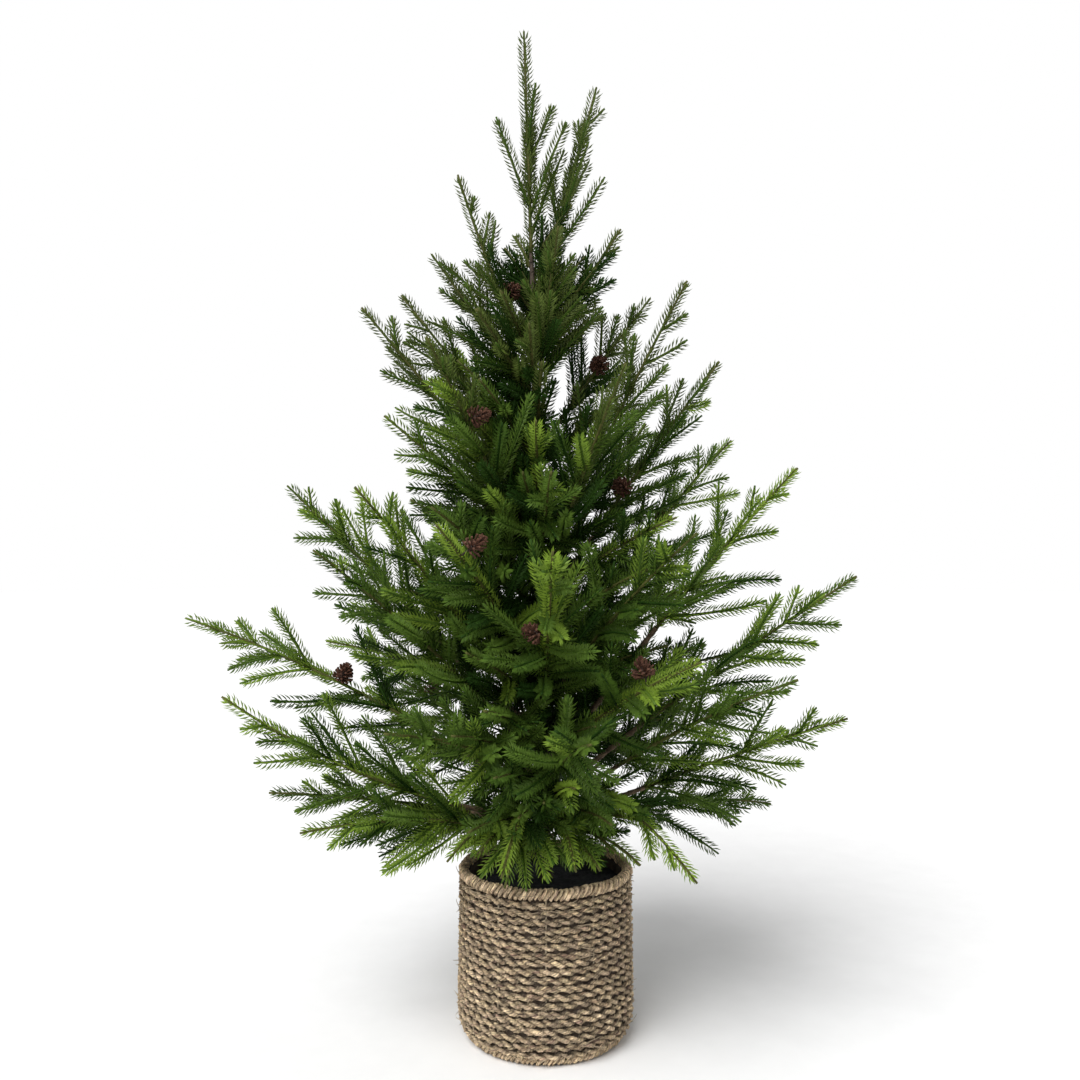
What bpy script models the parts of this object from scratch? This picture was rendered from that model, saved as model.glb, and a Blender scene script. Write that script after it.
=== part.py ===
"""Artificial Norfolk Island pine, 0.90 m tall, standing in a round seagrass basket.

The frame is metres with +Z up. The origin is the middle of the basket's flat underside.
+X is the right of the tree as it is seen from the front, and -Y is its front.
"""

import math
import random
from collections import namedtuple

import bmesh
import bpy
import numpy as np
from mathutils import Vector

MM = 0.001
UP = Vector((0.0, 0.0, 1.0))
CLEAR = 0.3 * MM  # gap that touching pieces keep
LINE_STEPS = 12  # straight steps that a curve's length is measured in
NEAR_UPRIGHT = 0.1  # a direction with less than this to the side counts as upright

# Basket
BASKET_FOOT_RADIUS = 63 * MM
BASKET_BELLY_RADIUS = 80 * MM
BASKET_NECK_RADIUS = 78.5 * MM
BASKET_ROUNDING = 24 * MM  # height over which its foot rounds into its side
BASKET_ROWS = 19  # of twisted cord, one above the other
ROW_PITCH = 6.95 * MM
ROW_HEIGHT = 11.5 * MM  # the middle of the lowest row
ROW_RELIEF = 3 * MM  # from a row's crest in to the groove between two rows
BAND_HEIGHT = 4.6 * MM  # the middle of the wound band under the rows
BASKET_WALL = 8 * MM
BASKET_FLOOR = 7 * MM
RIM_RADIUS = 5 * MM  # the wound ring round the mouth
RIM_HEIGHT = 147 * MM  # the middle of that ring
RIM_SIDES = 6
ROUND_SIDES = 24

# Black filling, flat in the middle where the trunk stands on it
FILL_TOP = 137 * MM
FILL_EDGE = 133 * MM
FILL_FLAT_RADIUS = 20 * MM

# Trunk
TREE_HEIGHT = 900 * MM
TRUNK_FOOT = FILL_TOP + CLEAR
TRUNK_TOP = 700 * MM  # the brown trunk ends here and the needled leader goes on
TRUNK_LEAN = -19.5 * MM  # how far to the left of its foot the tree's top stands
TRUNK_LEAN_CURVE = 1.4
TRUNK_FOOT_RADIUS = 5.2 * MM
TRUNK_FLARE_RADIUS = 7.5 * MM
TRUNK_FLARE_HEIGHT = 16 * MM
TRUNK_TIP_RADIUS = 2.0 * MM
TRUNK_SIDES = 8
TRUNK_RINGS = 10
TRUNK_RING_CROWDING = 1.7  # its rings lie closer to each other near its flared foot

# Boughs
BOUGH_END_SHARE = 0.75  # a bough's radius at its end against the one at its foot
BOUGH_SIDES = 6
BOUGH_RINGS = 3

# Needle sprays: a ridged blade with teeth on both sides
NEEDLE_REACH = 9.0 * MM  # from a twig's middle line to the points of the teeth
NOTCH_REACH = 4.8 * MM  # the same between two teeth
RIDGE = 4.6 * MM  # thickness of the blade
STEM_RADIUS = 1.6 * MM  # of a mass's stem before its needles begin
TOOTH_PITCH = 33 * MM
TOOTH_LEAN = 0.38  # how many pitches a tooth's point lies ahead of its root's middle
TIP_SHARE = 0.4  # pitches from the last pair of notches to a spray's tip
BARE_STEP = 45 * MM  # between the rings of a bare stem
BLADE_TURN = math.radians(90)  # of a blade about its twig: upright, to show from around
BLADE_SWAY = 0.7  # most that the turn strays from that
SEAT_STEP = 0.05 * MM  # by which a branch's foot is drawn out until it clears the trunk
EDGE_SHARES = (0, 0.25, 0.5, 0.75)  # where along a foot's edges that is tested
TWIG_ROOT = 9 * MM  # a twig has no needles over this length, inside its stem's needles

# Twigs of a foliage mass
TWIG_TURN = math.radians(137.5)  # from one twig to the next round their stem
TWIG_SPACING = 27 * MM
TWIG_SHARE = 0.52  # a twig's length against what the stem goes on beyond its root
TWIG_LONGEST = 84 * MM
TWIG_SHORTEST = 30 * MM
TWIG_TURN_SWAY = 0.3  # most that this turn strays
TWIG_BEND = 0.05  # most that a twig bows, against its length
TWIG_TRIES = (1.0, 0.8, 0.62)  # shares of a twig's length that are tried in turn
TWIG_SHIFTS = (0.0, 0.6, -0.6)  # turns round the stem that are tried in turn
SPACE_GAP = 1.2 * MM  # between two masses, or a mass and a limb
SAMPLE_STEP = 5 * MM  # between the points that stand for a limb or a blade in that test
SAMPLE_REACH = 3.2 * MM  # from such a point to a blade's surface
FILL_POINT_RINGS = 7
RING_POINTS = 72  # in each ring of points on the rim and the filling
TRUNK_OWNER = -1
BASKET_OWNER = -2

# Seeds: each kind of chance starts at its own, and each mass has so many for its twigs
BLADE_SEED = 21000
TWIG_SEED = 42000
FIRST_TWIG_SEED = 63000
SEEDS_PER_MASS = 40

# Cones
CONE_RADIUS = 9.5 * MM
CONE_LENGTH = 18 * MM
CONE_SIDES = 6
CONE_SHARES = (0.12, 0.45, 1.0)  # rings of a cone, from its base to its tip
CONE_WIDTHS = (0.8, 1.0, 0.6)
STALK_RADIUS = 0.9 * MM

# A branch leaves the trunk at the height foot and ends at tip (across, deep, high).
# arch is how far its middle stands above the straight line between the two, all in mm.
# bare is the share of its length before its first twig. A branch with wood above 0 has a
# separate bough of that radius in mm; the stem of any other meets the trunk itself.
# angle is how many degrees its twigs stand off their stem.
Branch = namedtuple("Branch", "name foot tip arch bare wood angle")

BRANCHES = (
    Branch("low_left", 201, (-327, 6, 370), 15, 0.30, 2.8, 38),
    Branch("low_left_front", 191, (-267, -84, 312), -22, 0.30, 2.8, 38),
    Branch("low_left_level", 182, (-244, -22, 218), 6, 0.26, 0, 38),
    Branch("low_left_drooping", 174, (-199, -100, 204), 12, 0.26, 0, 38),
    Branch("low_left_back", 170, (-172, 74, 156), 20, 0.30, 0, 38),
    Branch("low_right", 182, (264, -30, 285), 4, 0.32, 2.8, 38),
    Branch("low_right_front", 206, (257, -80, 411), 6, 0.32, 2.8, 38),
    Branch("low_right_back", 172, (225, 100, 178), 16, 0.28, 0, 38),
    Branch("foot_right_front", 218, (119, -120, 170), 26, 0.30, 0, 40),
    Branch("foot_front", 202, (-35, -132, 178), 24, 0.34, 0, 40),
    Branch("foot_front_right", 196, (24, -104, 174), 20, 0.36, 0, 40),
    Branch("foot_left", 186, (-81, -90, 178), 20, 0.34, 0, 40),
    Branch("low_front", 222, (30, -226, 300), 6, 0.28, 0, 40),
    Branch("low_front_right", 240, (112, -186, 352), 8, 0.28, 0, 40),
    Branch("mid_right_front", 193, (196, -130, 332), 10, 0.30, 2.4, 38),
    Branch("low_front_left", 226, (-118, -186, 300), 8, 0.30, 0, 40),
    Branch("back_right", 190, (150, 196, 262), 10, 0.32, 2.6, 40),
    Branch("back", 182, (10, 268, 236), 10, 0.32, 2.6, 40),
    Branch("back_left", 209, (-176, 196, 300), 10, 0.32, 2.6, 40),
    Branch("mid_left", 244, (-238, 20, 491), 6, 0.32, 2.4, 38),
    Branch("high_right", 229, (213, -60, 502), 10, 0.44, 3.0, 38),
    Branch("mid_left_front", 258, (-151, -120, 483), 8, 0.26, 0, 38),
    Branch("mid_left_low", 236, (-184, -120, 433), 10, 0.24, 0, 38),
    Branch("mid_left_back", 272, (-222, 120, 338), 12, 0.26, 0, 40),
    Branch("mid_front", 268, (4, -215, 433), 8, 0.26, 0, 40),
    Branch("mid_right_back", 300, (189, 120, 542), 15, 0.26, 0, 38),
    Branch("mid_front_right", 290, (112, -165, 446), 8, 0.26, 0, 40),
    Branch("mid_front_left", 306, (-82, -170, 452), 8, 0.26, 0, 40),
    Branch("mid_back", 280, (30, 212, 420), 8, 0.26, 0, 40),
    Branch("mid_back_left", 312, (-128, 168, 474), 8, 0.26, 0, 38),
    Branch("upper_left", 452, (-160, -36, 643), 2, 0.22, 0, 36),
    Branch("upper_left_back", 500, (-138, 58, 675), 2, 0.22, 0, 36),
    Branch("upper_right", 410, (124, -28, 668), 4, 0.26, 0, 34),
    Branch("upper_right_back", 520, (100, 52, 671), 2, 0.22, 0, 36),
    Branch("upper_far_right", 376, (164, 42, 609), 4, 0.26, 0, 36),
    Branch("upper_left_low", 424, (-138, -52, 547), 4, 0.22, 0, 38),
    Branch("upper_front_left", 400, (-96, -108, 604), 4, 0.24, 0, 38),
    Branch("upper_front_right", 388, (62, -124, 580), 6, 0.24, 0, 38),
    Branch("upper_back", 440, (-20, 150, 600), 4, 0.22, 0, 38),
    Branch("upper_back_right", 400, (104, 132, 560), 4, 0.24, 0, 38),
    Branch("top_left", 604, (-80, 10, 774), -14, 0.20, 0, 32),
    Branch("top_left_low", 560, (-106, 30, 707), 2, 0.20, 0, 34),
    Branch("top_right", 640, (47, 20, 858), 0, 0.16, 0, 26),
    Branch("top_right_low", 596, (68, 2, 722), 2, 0.18, 0, 34),
    Branch("top_front", 560, (10, -82, 700), 4, 0.18, 0, 34),
    Branch("top_back", 580, (-24, 86, 722), 4, 0.18, 0, 34),
)
LEADER_TWIG_ANGLE = 23
LEADER_FREE = 90 * MM  # the leader has no twig above this, measured from its tip

# A cone stands on a mass's stem, at a share of the stem's length. turn is its direction
# round the stem in degrees, level at 0 and up at 90, and stalk its stalk's length in mm.
Cone = namedtuple("Cone", "branch share turn stalk")

CONES = (
    Cone("low_left", 0.37, 110, 5),
    Cone("mid_front_left", 0.80, 135, 8),
    Cone("low_front_right", 0.70, 90, 9),
    Cone("upper_far_right", 0.44, 40, 5),
    Cone("upper_right_back", 0.50, 20, 5),
    Cone("top_left", 0.38, 120, 5),
    Cone("upper_front_left", 0.66, 150, 5),
    Cone("mid_front", 0.52, 20, 6),
    Cone("mid_back", 0.60, 60, 6),
    Cone("back_left", 0.50, 80, 6),
    Cone("upper_back", 0.62, 30, 5),
    Cone("mid_right_back", 0.62, 200, 5),
)


def trunk_line(height):
    """The middle of the trunk at a height, bent gently to the left as it rises."""
    share = (height - TRUNK_FOOT) / (TREE_HEIGHT - TRUNK_FOOT)
    return Vector((TRUNK_LEAN * share ** TRUNK_LEAN_CURVE, 0.0, height))


def trunk_radius(height):
    """The trunk tapers evenly above a short flare at its foot."""
    share = (height - TRUNK_FOOT) / (TRUNK_TOP - TRUNK_FOOT)
    radius = TRUNK_FOOT_RADIUS + (TRUNK_TIP_RADIUS - TRUNK_FOOT_RADIUS) * share
    flare = max(0.0, 1 - (height - TRUNK_FOOT) / TRUNK_FLARE_HEIGHT) ** 2
    return radius + (TRUNK_FLARE_RADIUS - TRUNK_FOOT_RADIUS) * flare


class Line:
    """A curve from start to end whose bend is the point that it is drawn towards."""

    def __init__(self, start, bend, end):
        self.start = Vector(start)
        self.bend = Vector(bend)
        self.end = Vector(end)
        points = [self.at(i / LINE_STEPS) for i in range(LINE_STEPS + 1)]
        self.length = sum((b - a).length for a, b in zip(points, points[1:]))

    def at(self, t):
        return self.start * (1 - t) ** 2 + self.bend * 2 * t * (1 - t) + self.end * t ** 2

    def along(self, t):
        """The direction of the curve at t."""
        way = (self.bend - self.start) * (1 - t) + (self.end - self.bend) * t
        return way.normalized()

    def across(self, t, turn):
        """A direction square to the curve: level at turn 0, upwards at a quarter turn."""
        way = self.along(t)
        level = way.cross(UP)
        if level.length < NEAR_UPRIGHT:
            level = way.cross(Vector((0.0, 1.0, 0.0)))
        level.normalize()
        return level * math.cos(turn) + level.cross(way) * math.sin(turn)

    def between(self, t0, t1):
        """The piece of the curve from t0 to t1, as a curve of its own."""
        bend = (
            self.start * (1 - t0) * (1 - t1)
            + self.bend * (t0 + t1 - 2 * t0 * t1)
            + self.end * t0 * t1
        )
        return Line(self.at(t0), bend, self.at(t1))


def arched(start, end, arch):
    """A line whose middle stands arch above the straight way."""
    return Line(start, (start + end) / 2 + 2 * arch * UP, end)


def trunk_gap(ring):
    """The least gap between a ring of places, with its edges, and the trunk's faceted side."""
    half = math.pi / TRUNK_SIDES
    gaps = []
    for first, second in zip(ring, ring[1:] + ring[:1]):
        for share in EDGE_SHARES:
            point = first.lerp(second, share)
            offset = point - trunk_line(point.z)
            turn = math.atan2(offset.y, offset.x) % (2 * half) - half
            side = trunk_radius(point.z) * math.cos(half) / math.cos(turn)
            gaps.append(math.hypot(offset.x, offset.y) - side)
    return min(gaps)


def branch_line(branch, turn):
    """The whole way of a branch, from where its foot just clears the trunk to its tip."""
    line = arched(trunk_line(branch.foot * MM), Vector(branch.tip) * MM, branch.arch * MM)
    start = 0.0
    while True:
        foot = line.between(start, 1)
        if branch.wood:
            sides = [foot.across(0, math.tau * k / BOUGH_SIDES) for k in range(BOUGH_SIDES)]
            ring = [foot.start + side * branch.wood * MM for side in sides]
        else:
            ring = blade_ring(foot, 0, turn, STEM_RADIUS, STEM_RADIUS)
        if trunk_gap(ring) > CLEAR:
            return foot
        start += SEAT_STEP / line.length


def leader_line():
    """The shoot that goes on from the trunk's tip to the top of the tree."""
    start = trunk_line(TRUNK_TOP + CLEAR)
    middle = trunk_line((TRUNK_TOP + TREE_HEIGHT) / 2)
    end = trunk_line(TREE_HEIGHT)
    return Line(start, 2 * middle - (start + end) / 2, end)


def line_points(line):
    """Points along the middle of a line."""
    count = max(2, round(line.length / SAMPLE_STEP) + 1)
    return [line.at(i / (count - 1)) for i in range(count)]


def blade_points(line, turn):
    """Points along a blade's two edges and its ridge, in from its surface by SAMPLE_REACH."""
    count = max(2, round(line.length / SAMPLE_STEP) + 1)
    points = []
    for i in range(count):
        t = i / (count - 1)
        side = line.across(t, turn) * (NEEDLE_REACH - SAMPLE_REACH)
        ridge = line.across(t, turn + math.pi / 2) * RIDGE / 2
        points += [line.at(t) - side, line.at(t) + ridge, line.at(t) + side]
    return points


class Space:
    """The room that limbs and needles have taken, as points with a reach and an owner."""

    def __init__(self):
        self.points = np.empty((0, 3))
        self.reaches = np.empty(0)
        self.owners = np.empty(0, dtype=int)

    def take(self, points, reach, owner):
        self.points = np.vstack((self.points, np.array(points)))
        self.reaches = np.append(self.reaches, [reach] * len(points))
        self.owners = np.append(self.owners, [owner] * len(points))

    def room(self, points, reach, owner):
        """The least gap between these points, grown by reach, and what belongs to others."""
        others = self.owners != owner
        gaps = np.linalg.norm(np.array(points)[:, None] - self.points[others][None], axis=2)
        return float((gaps - self.reaches[others][None]).min()) - reach


# A mass: its stem, the share of the stem that is bare, its blade's turn, the angle of its
# twigs and the twigs themselves, each a line with its own blade's turn.
Mass = namedtuple("Mass", "name stem bare turn angle twigs")


def plan_masses():
    """Work out all boughs and masses: first every stem and cone, then twigs by turns.

    A twig that would come too near to another mass, a bough, the trunk or the basket is
    tried further round the stem and shorter, and is left out if it still doesn't fit.
    """
    space = Space()
    for step in range(TRUNK_RINGS):
        low = TRUNK_FOOT + (TRUNK_TOP - TRUNK_FOOT) * step / TRUNK_RINGS
        high = TRUNK_FOOT + (TRUNK_TOP - TRUNK_FOOT) * (step + 1) / TRUNK_RINGS
        piece = Line(trunk_line(low), trunk_line((low + high) / 2), trunk_line(high))
        space.take(line_points(piece), trunk_radius(low), TRUNK_OWNER)
    take_basket(space)
    boughs = []
    masses = []
    for owner, branch in enumerate(BRANCHES):
        turn = blade_turn(owner, 0)
        line = branch_line(branch, turn)
        bare = branch.bare
        if branch.wood:
            bough = line.between(0, bare)
            boughs.append((branch.name, bough, branch.wood * MM))
            space.take(line_points(bough), branch.wood * MM, owner)
            line = line.between(bare + CLEAR / line.length, 1)
            bare = 0.0
        else:
            space.take(line_points(line.between(0, bare)), STEM_RADIUS, owner)
        space.take(blade_points(line.between(bare, 1), turn), SAMPLE_REACH, owner)
        masses.append(Mass(branch.name, line, bare, turn, branch.angle, []))
    owner = len(masses)
    turn = blade_turn(owner, 0)
    masses.append(Mass("leader", leader_line(), 0.0, turn, LEADER_TWIG_ANGLE, []))
    space.take(blade_points(masses[-1].stem, turn), SAMPLE_REACH, owner)
    for owner, mass in enumerate(masses):
        for line, base in cone_lines(mass):
            space.take(line_points(line.between(base, 1)), CONE_RADIUS, owner)
    longest = max(mass.stem.length for mass in masses)
    for order in range(int(longest / TWIG_SPACING)):
        for owner, mass in enumerate(masses):
            add_twig(space, owner, mass, order)
    return boughs, masses


def take_basket(space):
    """Rings of points on the basket's rim and over the filling's top."""
    heights = {BASKET_NECK_RADIUS - RIM_RADIUS: RIM_HEIGHT}
    for ring in range(1, FILL_POINT_RINGS + 1):
        heights[(BASKET_NECK_RADIUS - BASKET_WALL) * ring / FILL_POINT_RINGS] = FILL_TOP - RIM_RADIUS
    turns = [math.tau * k / RING_POINTS for k in range(RING_POINTS)]
    for radius, height in heights.items():
        points = [(radius * math.cos(turn), radius * math.sin(turn), height) for turn in turns]
        space.take(points, RIM_RADIUS, BASKET_OWNER)


def blade_turn(owner, order):
    """A seeded turn of a blade about its twig, near upright so that it shows from around."""
    chance = random.Random(BLADE_SEED + owner * SEEDS_PER_MASS + order)
    return BLADE_TURN + chance.uniform(-BLADE_SWAY, BLADE_SWAY)


def add_twig(space, owner, mass, order):
    """Add the twig with this place in the order to a mass, if it has one and it fits."""
    stem = mass.stem
    root = mass.bare + (order + 0.5) * TWIG_SPACING / stem.length
    onward = (1 - root) * stem.length
    length = min(TWIG_LONGEST, onward * TWIG_SHARE)
    if length < TWIG_SHORTEST or mass.name == "leader" and onward < LEADER_FREE:
        return
    chance = random.Random(TWIG_SEED + owner * SEEDS_PER_MASS + order)
    first = random.Random(FIRST_TWIG_SEED + owner).uniform(0, math.tau)
    turn = first + TWIG_TURN * order + chance.uniform(-TWIG_TURN_SWAY, TWIG_TURN_SWAY)
    bend = chance.uniform(-TWIG_BEND, TWIG_BEND)
    roll = blade_turn(owner, order + 1)
    for share in TWIG_TRIES:
        for shift in TWIG_SHIFTS:
            twig = twig_line(stem, root, turn + shift, mass.angle, length * share, bend)
            points = blade_points(twig.between(TWIG_ROOT / twig.length, 1), roll)
            if twig.length > TWIG_SHORTEST and space.room(points, SAMPLE_REACH, owner) > SPACE_GAP:
                mass.twigs.append((twig, roll))
                space.take(points, SAMPLE_REACH, owner)
                return


def twig_line(stem, root, turn, angle, length, bend):
    """A twig that leaves its stem at root, forwards and to the side that turn points to."""
    start = stem.at(root)
    side = stem.across(root, turn)
    way = stem.along(root) * math.cos(math.radians(angle)) + side * math.sin(math.radians(angle))
    return arched(start, start + way * length, bend * length)


def blade_ring(line, t, turn, width, height):
    """Three places round a line: a blade's right edge, its ridge and its left edge."""
    centre = line.at(t)
    side = line.across(t, turn) * width
    ridge = line.across(t, turn + math.pi / 2) * height
    return [centre + side, centre + ridge, centre - side]


def join_rings(mesh, lower, upper):
    """Side faces between two rings with the same number of points."""
    count = len(lower)
    for i in range(count):
        j = (i + 1) % count
        mesh.faces.new((lower[i], lower[j], upper[j], upper[i]))


def spray_mesh(line, turn, bare):
    """A needled twig: a ridged blade along a line, with a tooth on each side per pitch.

    Its first part, up to the share bare, is a plain three-sided stem.
    """
    mesh = bmesh.new()
    plain = max(1, round(bare * line.length / BARE_STEP))
    rings = []
    for i in range(plain):
        rings.append(blade_ring(line, bare * i / plain, turn, STEM_RADIUS, STEM_RADIUS))
    count = max(2, round(line.length * (1 - bare) / TOOTH_PITCH))
    step = (1 - bare) / (count + TIP_SHARE)
    for i in range(count + 1):
        rings.append(blade_ring(line, bare + step * i, turn, NOTCH_REACH, RIDGE))
    rings = [[mesh.verts.new(point) for point in ring] for ring in rings]
    teeth = rings[plain:]
    stem = rings[:plain + 1]
    for lower, upper in zip(stem, stem[1:]):
        join_rings(mesh, lower, upper)
    for i in range(count):
        point = bare + step * (i + 0.5 + TOOTH_LEAN)
        side = line.across(min(point, 1.0), turn) * NEEDLE_REACH
        add_teeth(mesh, teeth[i], teeth[i + 1], line.at(point) + side, line.at(point) - side)
    tip = mesh.verts.new(line.at(1.0))
    right, ridge, left = teeth[-1]
    for a, b in ((right, ridge), (ridge, left), (left, right)):
        mesh.faces.new((a, b, tip))
    mesh.faces.new(rings[0])
    bmesh.ops.recalc_face_normals(mesh, faces=mesh.faces)
    bmesh.ops.triangulate(mesh, faces=mesh.faces)
    return mesh


def add_teeth(mesh, lower, upper, right_tip, left_tip):
    """One step of a blade: a tooth on its right, a tooth on its left and its flat back."""
    right, ridge, left = lower
    next_right, next_ridge, next_left = upper
    right_point = mesh.verts.new(right_tip)
    left_point = mesh.verts.new(left_tip)
    mesh.faces.new((right, right_point, ridge))
    mesh.faces.new((right_point, next_ridge, ridge))
    mesh.faces.new((right_point, next_right, next_ridge))
    mesh.faces.new((right_point, right, next_right))
    mesh.faces.new((ridge, left_point, left))
    mesh.faces.new((ridge, next_ridge, left_point))
    mesh.faces.new((next_ridge, next_left, left_point))
    mesh.faces.new((left, left_point, next_left))
    mesh.faces.new((right, left, next_left))
    mesh.faces.new((right, next_left, next_right))


def tube_mesh(line, shares, radii, sides):
    """A round limb with a ring of each radius at each share of a line, closed at its ends."""
    mesh = bmesh.new()
    turns = [math.tau * k / sides for k in range(sides)]
    rings = []
    for share, radius in zip(shares, radii):
        centre = line.at(share)
        rings.append([mesh.verts.new(centre + line.across(share, turn) * radius) for turn in turns])
    for lower, upper in zip(rings, rings[1:]):
        join_rings(mesh, lower, upper)
    mesh.faces.new(rings[0])
    mesh.faces.new(rings[-1])
    bmesh.ops.recalc_face_normals(mesh, faces=mesh.faces)
    return mesh


def turned_mesh(profile, sides):
    """Turn an outline of (radius, height) points about the upright axis.

    The outline starts and ends on the axis, so the solid is closed.
    """
    mesh = bmesh.new()
    rings = []
    for radius, height in profile:
        if radius == 0:
            rings.append([mesh.verts.new((0, 0, height))])
            continue
        turns = [math.tau * k / sides for k in range(sides)]
        places = [(radius * math.cos(turn), radius * math.sin(turn), height) for turn in turns]
        rings.append([mesh.verts.new(place) for place in places])
    for lower, upper in zip(rings, rings[1:]):
        for k in range(sides):
            j = (k + 1) % sides
            below = [lower[k % len(lower)], lower[j % len(lower)]]
            above = [upper[j % len(upper)], upper[k % len(upper)]]
            mesh.faces.new(dict.fromkeys(below + above))
    bmesh.ops.recalc_face_normals(mesh, faces=mesh.faces)
    return mesh


def cone_lines(mass):
    """For each cone of a mass, the line from the stem to its tip and the share at its base."""
    lines = []
    for cone in CONES:
        if cone.branch == mass.name:
            start = mass.stem.at(cone.share)
            way = mass.stem.across(cone.share, math.radians(cone.turn))
            length = cone.stalk * MM + CONE_LENGTH
            lines.append((arched(start, start + way * length, 0), cone.stalk * MM / length))
    return lines


def cone_mesh(line, base):
    """A seed cone on its stalk: a blunt faceted bud, widest below its middle."""
    shares = [0, base] + [base + (1 - base) * share for share in CONE_SHARES]
    radii = [STALK_RADIUS] * 2 + [CONE_RADIUS * width for width in CONE_WIDTHS]
    return tube_mesh(line, shares, radii, CONE_SIDES)


def add_object(name, mesh, material):
    """Make an object of a bmesh and put it in the scene."""
    data = bpy.data.meshes.new(name)
    mesh.to_mesh(data)
    mesh.free()
    data.materials.append(material)
    piece = bpy.data.objects.new(name, data)
    bpy.context.scene.collection.objects.link(piece)
    return piece


def fuse(piece, meshes):
    """Join meshes to a piece by one union, and leave out any scrap that comes loose."""
    group = bpy.data.collections.new(piece.name + "_twigs")
    bpy.context.scene.collection.children.link(group)
    for mesh in meshes:
        twig = add_object(piece.name + "_twig", mesh, piece.data.materials[0])
        bpy.context.scene.collection.objects.unlink(twig)
        group.objects.link(twig)
    union = piece.modifiers.new("union", "BOOLEAN")
    union.operation = "UNION"
    union.operand_type = "COLLECTION"
    union.collection = group
    for solver in ("EXACT", "MANIFOLD"):
        union.solver = solver
        scene_state = bpy.context.evaluated_depsgraph_get()
        joined = bpy.data.meshes.new_from_object(piece.evaluated_get(scene_state))
        if keep_largest(joined):
            break
    piece.modifiers.clear()
    piece.data = joined
    for twig in list(group.objects):
        bpy.data.objects.remove(twig)
    bpy.data.collections.remove(group)


def keep_largest(data):
    """Remove every body of a mesh but the largest, and tell whether that one is closed."""
    mesh = bmesh.new()
    mesh.from_mesh(data)
    bmesh.ops.triangulate(mesh, faces=mesh.faces)
    left = set(mesh.verts)
    bodies = []
    while left:
        body = []
        front = [left.pop()]
        while front:
            point = front.pop()
            body.append(point)
            for edge in point.link_edges:
                other = edge.other_vert(point)
                if other in left:
                    left.remove(other)
                    front.append(other)
        bodies.append(body)
    bodies.sort(key=len)
    for body in bodies[:-1]:
        bmesh.ops.delete(mesh, geom=body, context="VERTS")
    closed = all(edge.is_manifold for edge in mesh.edges)
    mesh.to_mesh(data)
    mesh.free()
    return closed


def material(name, colour, roughness):
    """A plain finish with no metal in it."""
    finish = bpy.data.materials.new(name)
    finish.use_nodes = True
    shader = finish.node_tree.nodes["Principled BSDF"]
    shader.inputs["Base Color"].default_value = (*colour, 1)
    shader.inputs["Roughness"].default_value = roughness
    shader.inputs["Metallic"].default_value = 0
    return finish


def basket_radius(height):
    """The radius of the basket's outer side at a height."""
    if height < BASKET_ROUNDING:
        turn = math.acos(1 - height / BASKET_ROUNDING)
        return BASKET_FOOT_RADIUS + (BASKET_BELLY_RADIUS - BASKET_FOOT_RADIUS) * math.sin(turn)
    share = (height - BASKET_ROUNDING) / (RIM_HEIGHT - BASKET_ROUNDING)
    return BASKET_BELLY_RADIUS + (BASKET_NECK_RADIUS - BASKET_BELLY_RADIUS) * share


def make_basket(finish):
    """The basket: a closed turned solid with a rib for each row of cord, under a wound ring."""
    profile = [(0, 0), (BASKET_FOOT_RADIUS, 0), (basket_radius(BAND_HEIGHT), BAND_HEIGHT)]
    for row in range(BASKET_ROWS):
        crest = ROW_HEIGHT + ROW_PITCH * row
        groove = crest - ROW_PITCH / 2
        profile.append((basket_radius(groove) - ROW_RELIEF, groove))
        profile.append((basket_radius(crest), crest))
    ring_radius = BASKET_NECK_RADIUS - RIM_RADIUS
    for k in range(-1, RIM_SIDES - 2):
        turn = math.tau * k / RIM_SIDES
        profile.append((ring_radius + RIM_RADIUS * math.cos(turn), RIM_HEIGHT + RIM_RADIUS * math.sin(turn)))
    inside = BASKET_NECK_RADIUS - BASKET_WALL
    profile.append((inside, RIM_HEIGHT - RIM_RADIUS))
    profile.append((inside, BASKET_ROUNDING))
    profile.append((BASKET_FOOT_RADIUS - BASKET_WALL, BASKET_FLOOR))
    profile.append((0, BASKET_FLOOR))
    return add_object("basket", turned_mesh(profile, ROUND_SIDES), finish)


def make_filling(finish):
    """The filling, clear of the basket's wall and floor all round."""
    inside = BASKET_NECK_RADIUS - BASKET_WALL - 2 * CLEAR
    profile = (
        (0, BASKET_FLOOR + CLEAR),
        (BASKET_FOOT_RADIUS - BASKET_WALL - 2 * CLEAR, BASKET_FLOOR + CLEAR),
        (inside, BASKET_ROUNDING + CLEAR),
        (inside, FILL_EDGE),
        (FILL_FLAT_RADIUS, FILL_TOP),
        (0, FILL_TOP),
    )
    return add_object("filling", turned_mesh(profile, ROUND_SIDES), finish)


def make_trunk(finish):
    """The trunk, from its flat cut on the filling to its tip under the leader."""
    mesh = bmesh.new()
    turns = [math.tau * k / TRUNK_SIDES for k in range(TRUNK_SIDES)]
    rings = []
    for i in range(TRUNK_RINGS + 1):
        height = TRUNK_FOOT + (TRUNK_TOP - TRUNK_FOOT) * (i / TRUNK_RINGS) ** TRUNK_RING_CROWDING
        centre = trunk_line(height)
        radius = trunk_radius(height)
        offsets = [Vector((math.cos(turn), math.sin(turn), 0)) * radius for turn in turns]
        rings.append([mesh.verts.new(centre + offset) for offset in offsets])
    for lower, upper in zip(rings, rings[1:]):
        join_rings(mesh, lower, upper)
    mesh.faces.new(rings[0])
    mesh.faces.new(rings[-1])
    bmesh.ops.recalc_face_normals(mesh, faces=mesh.faces)
    return add_object("trunk", mesh, finish)


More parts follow.
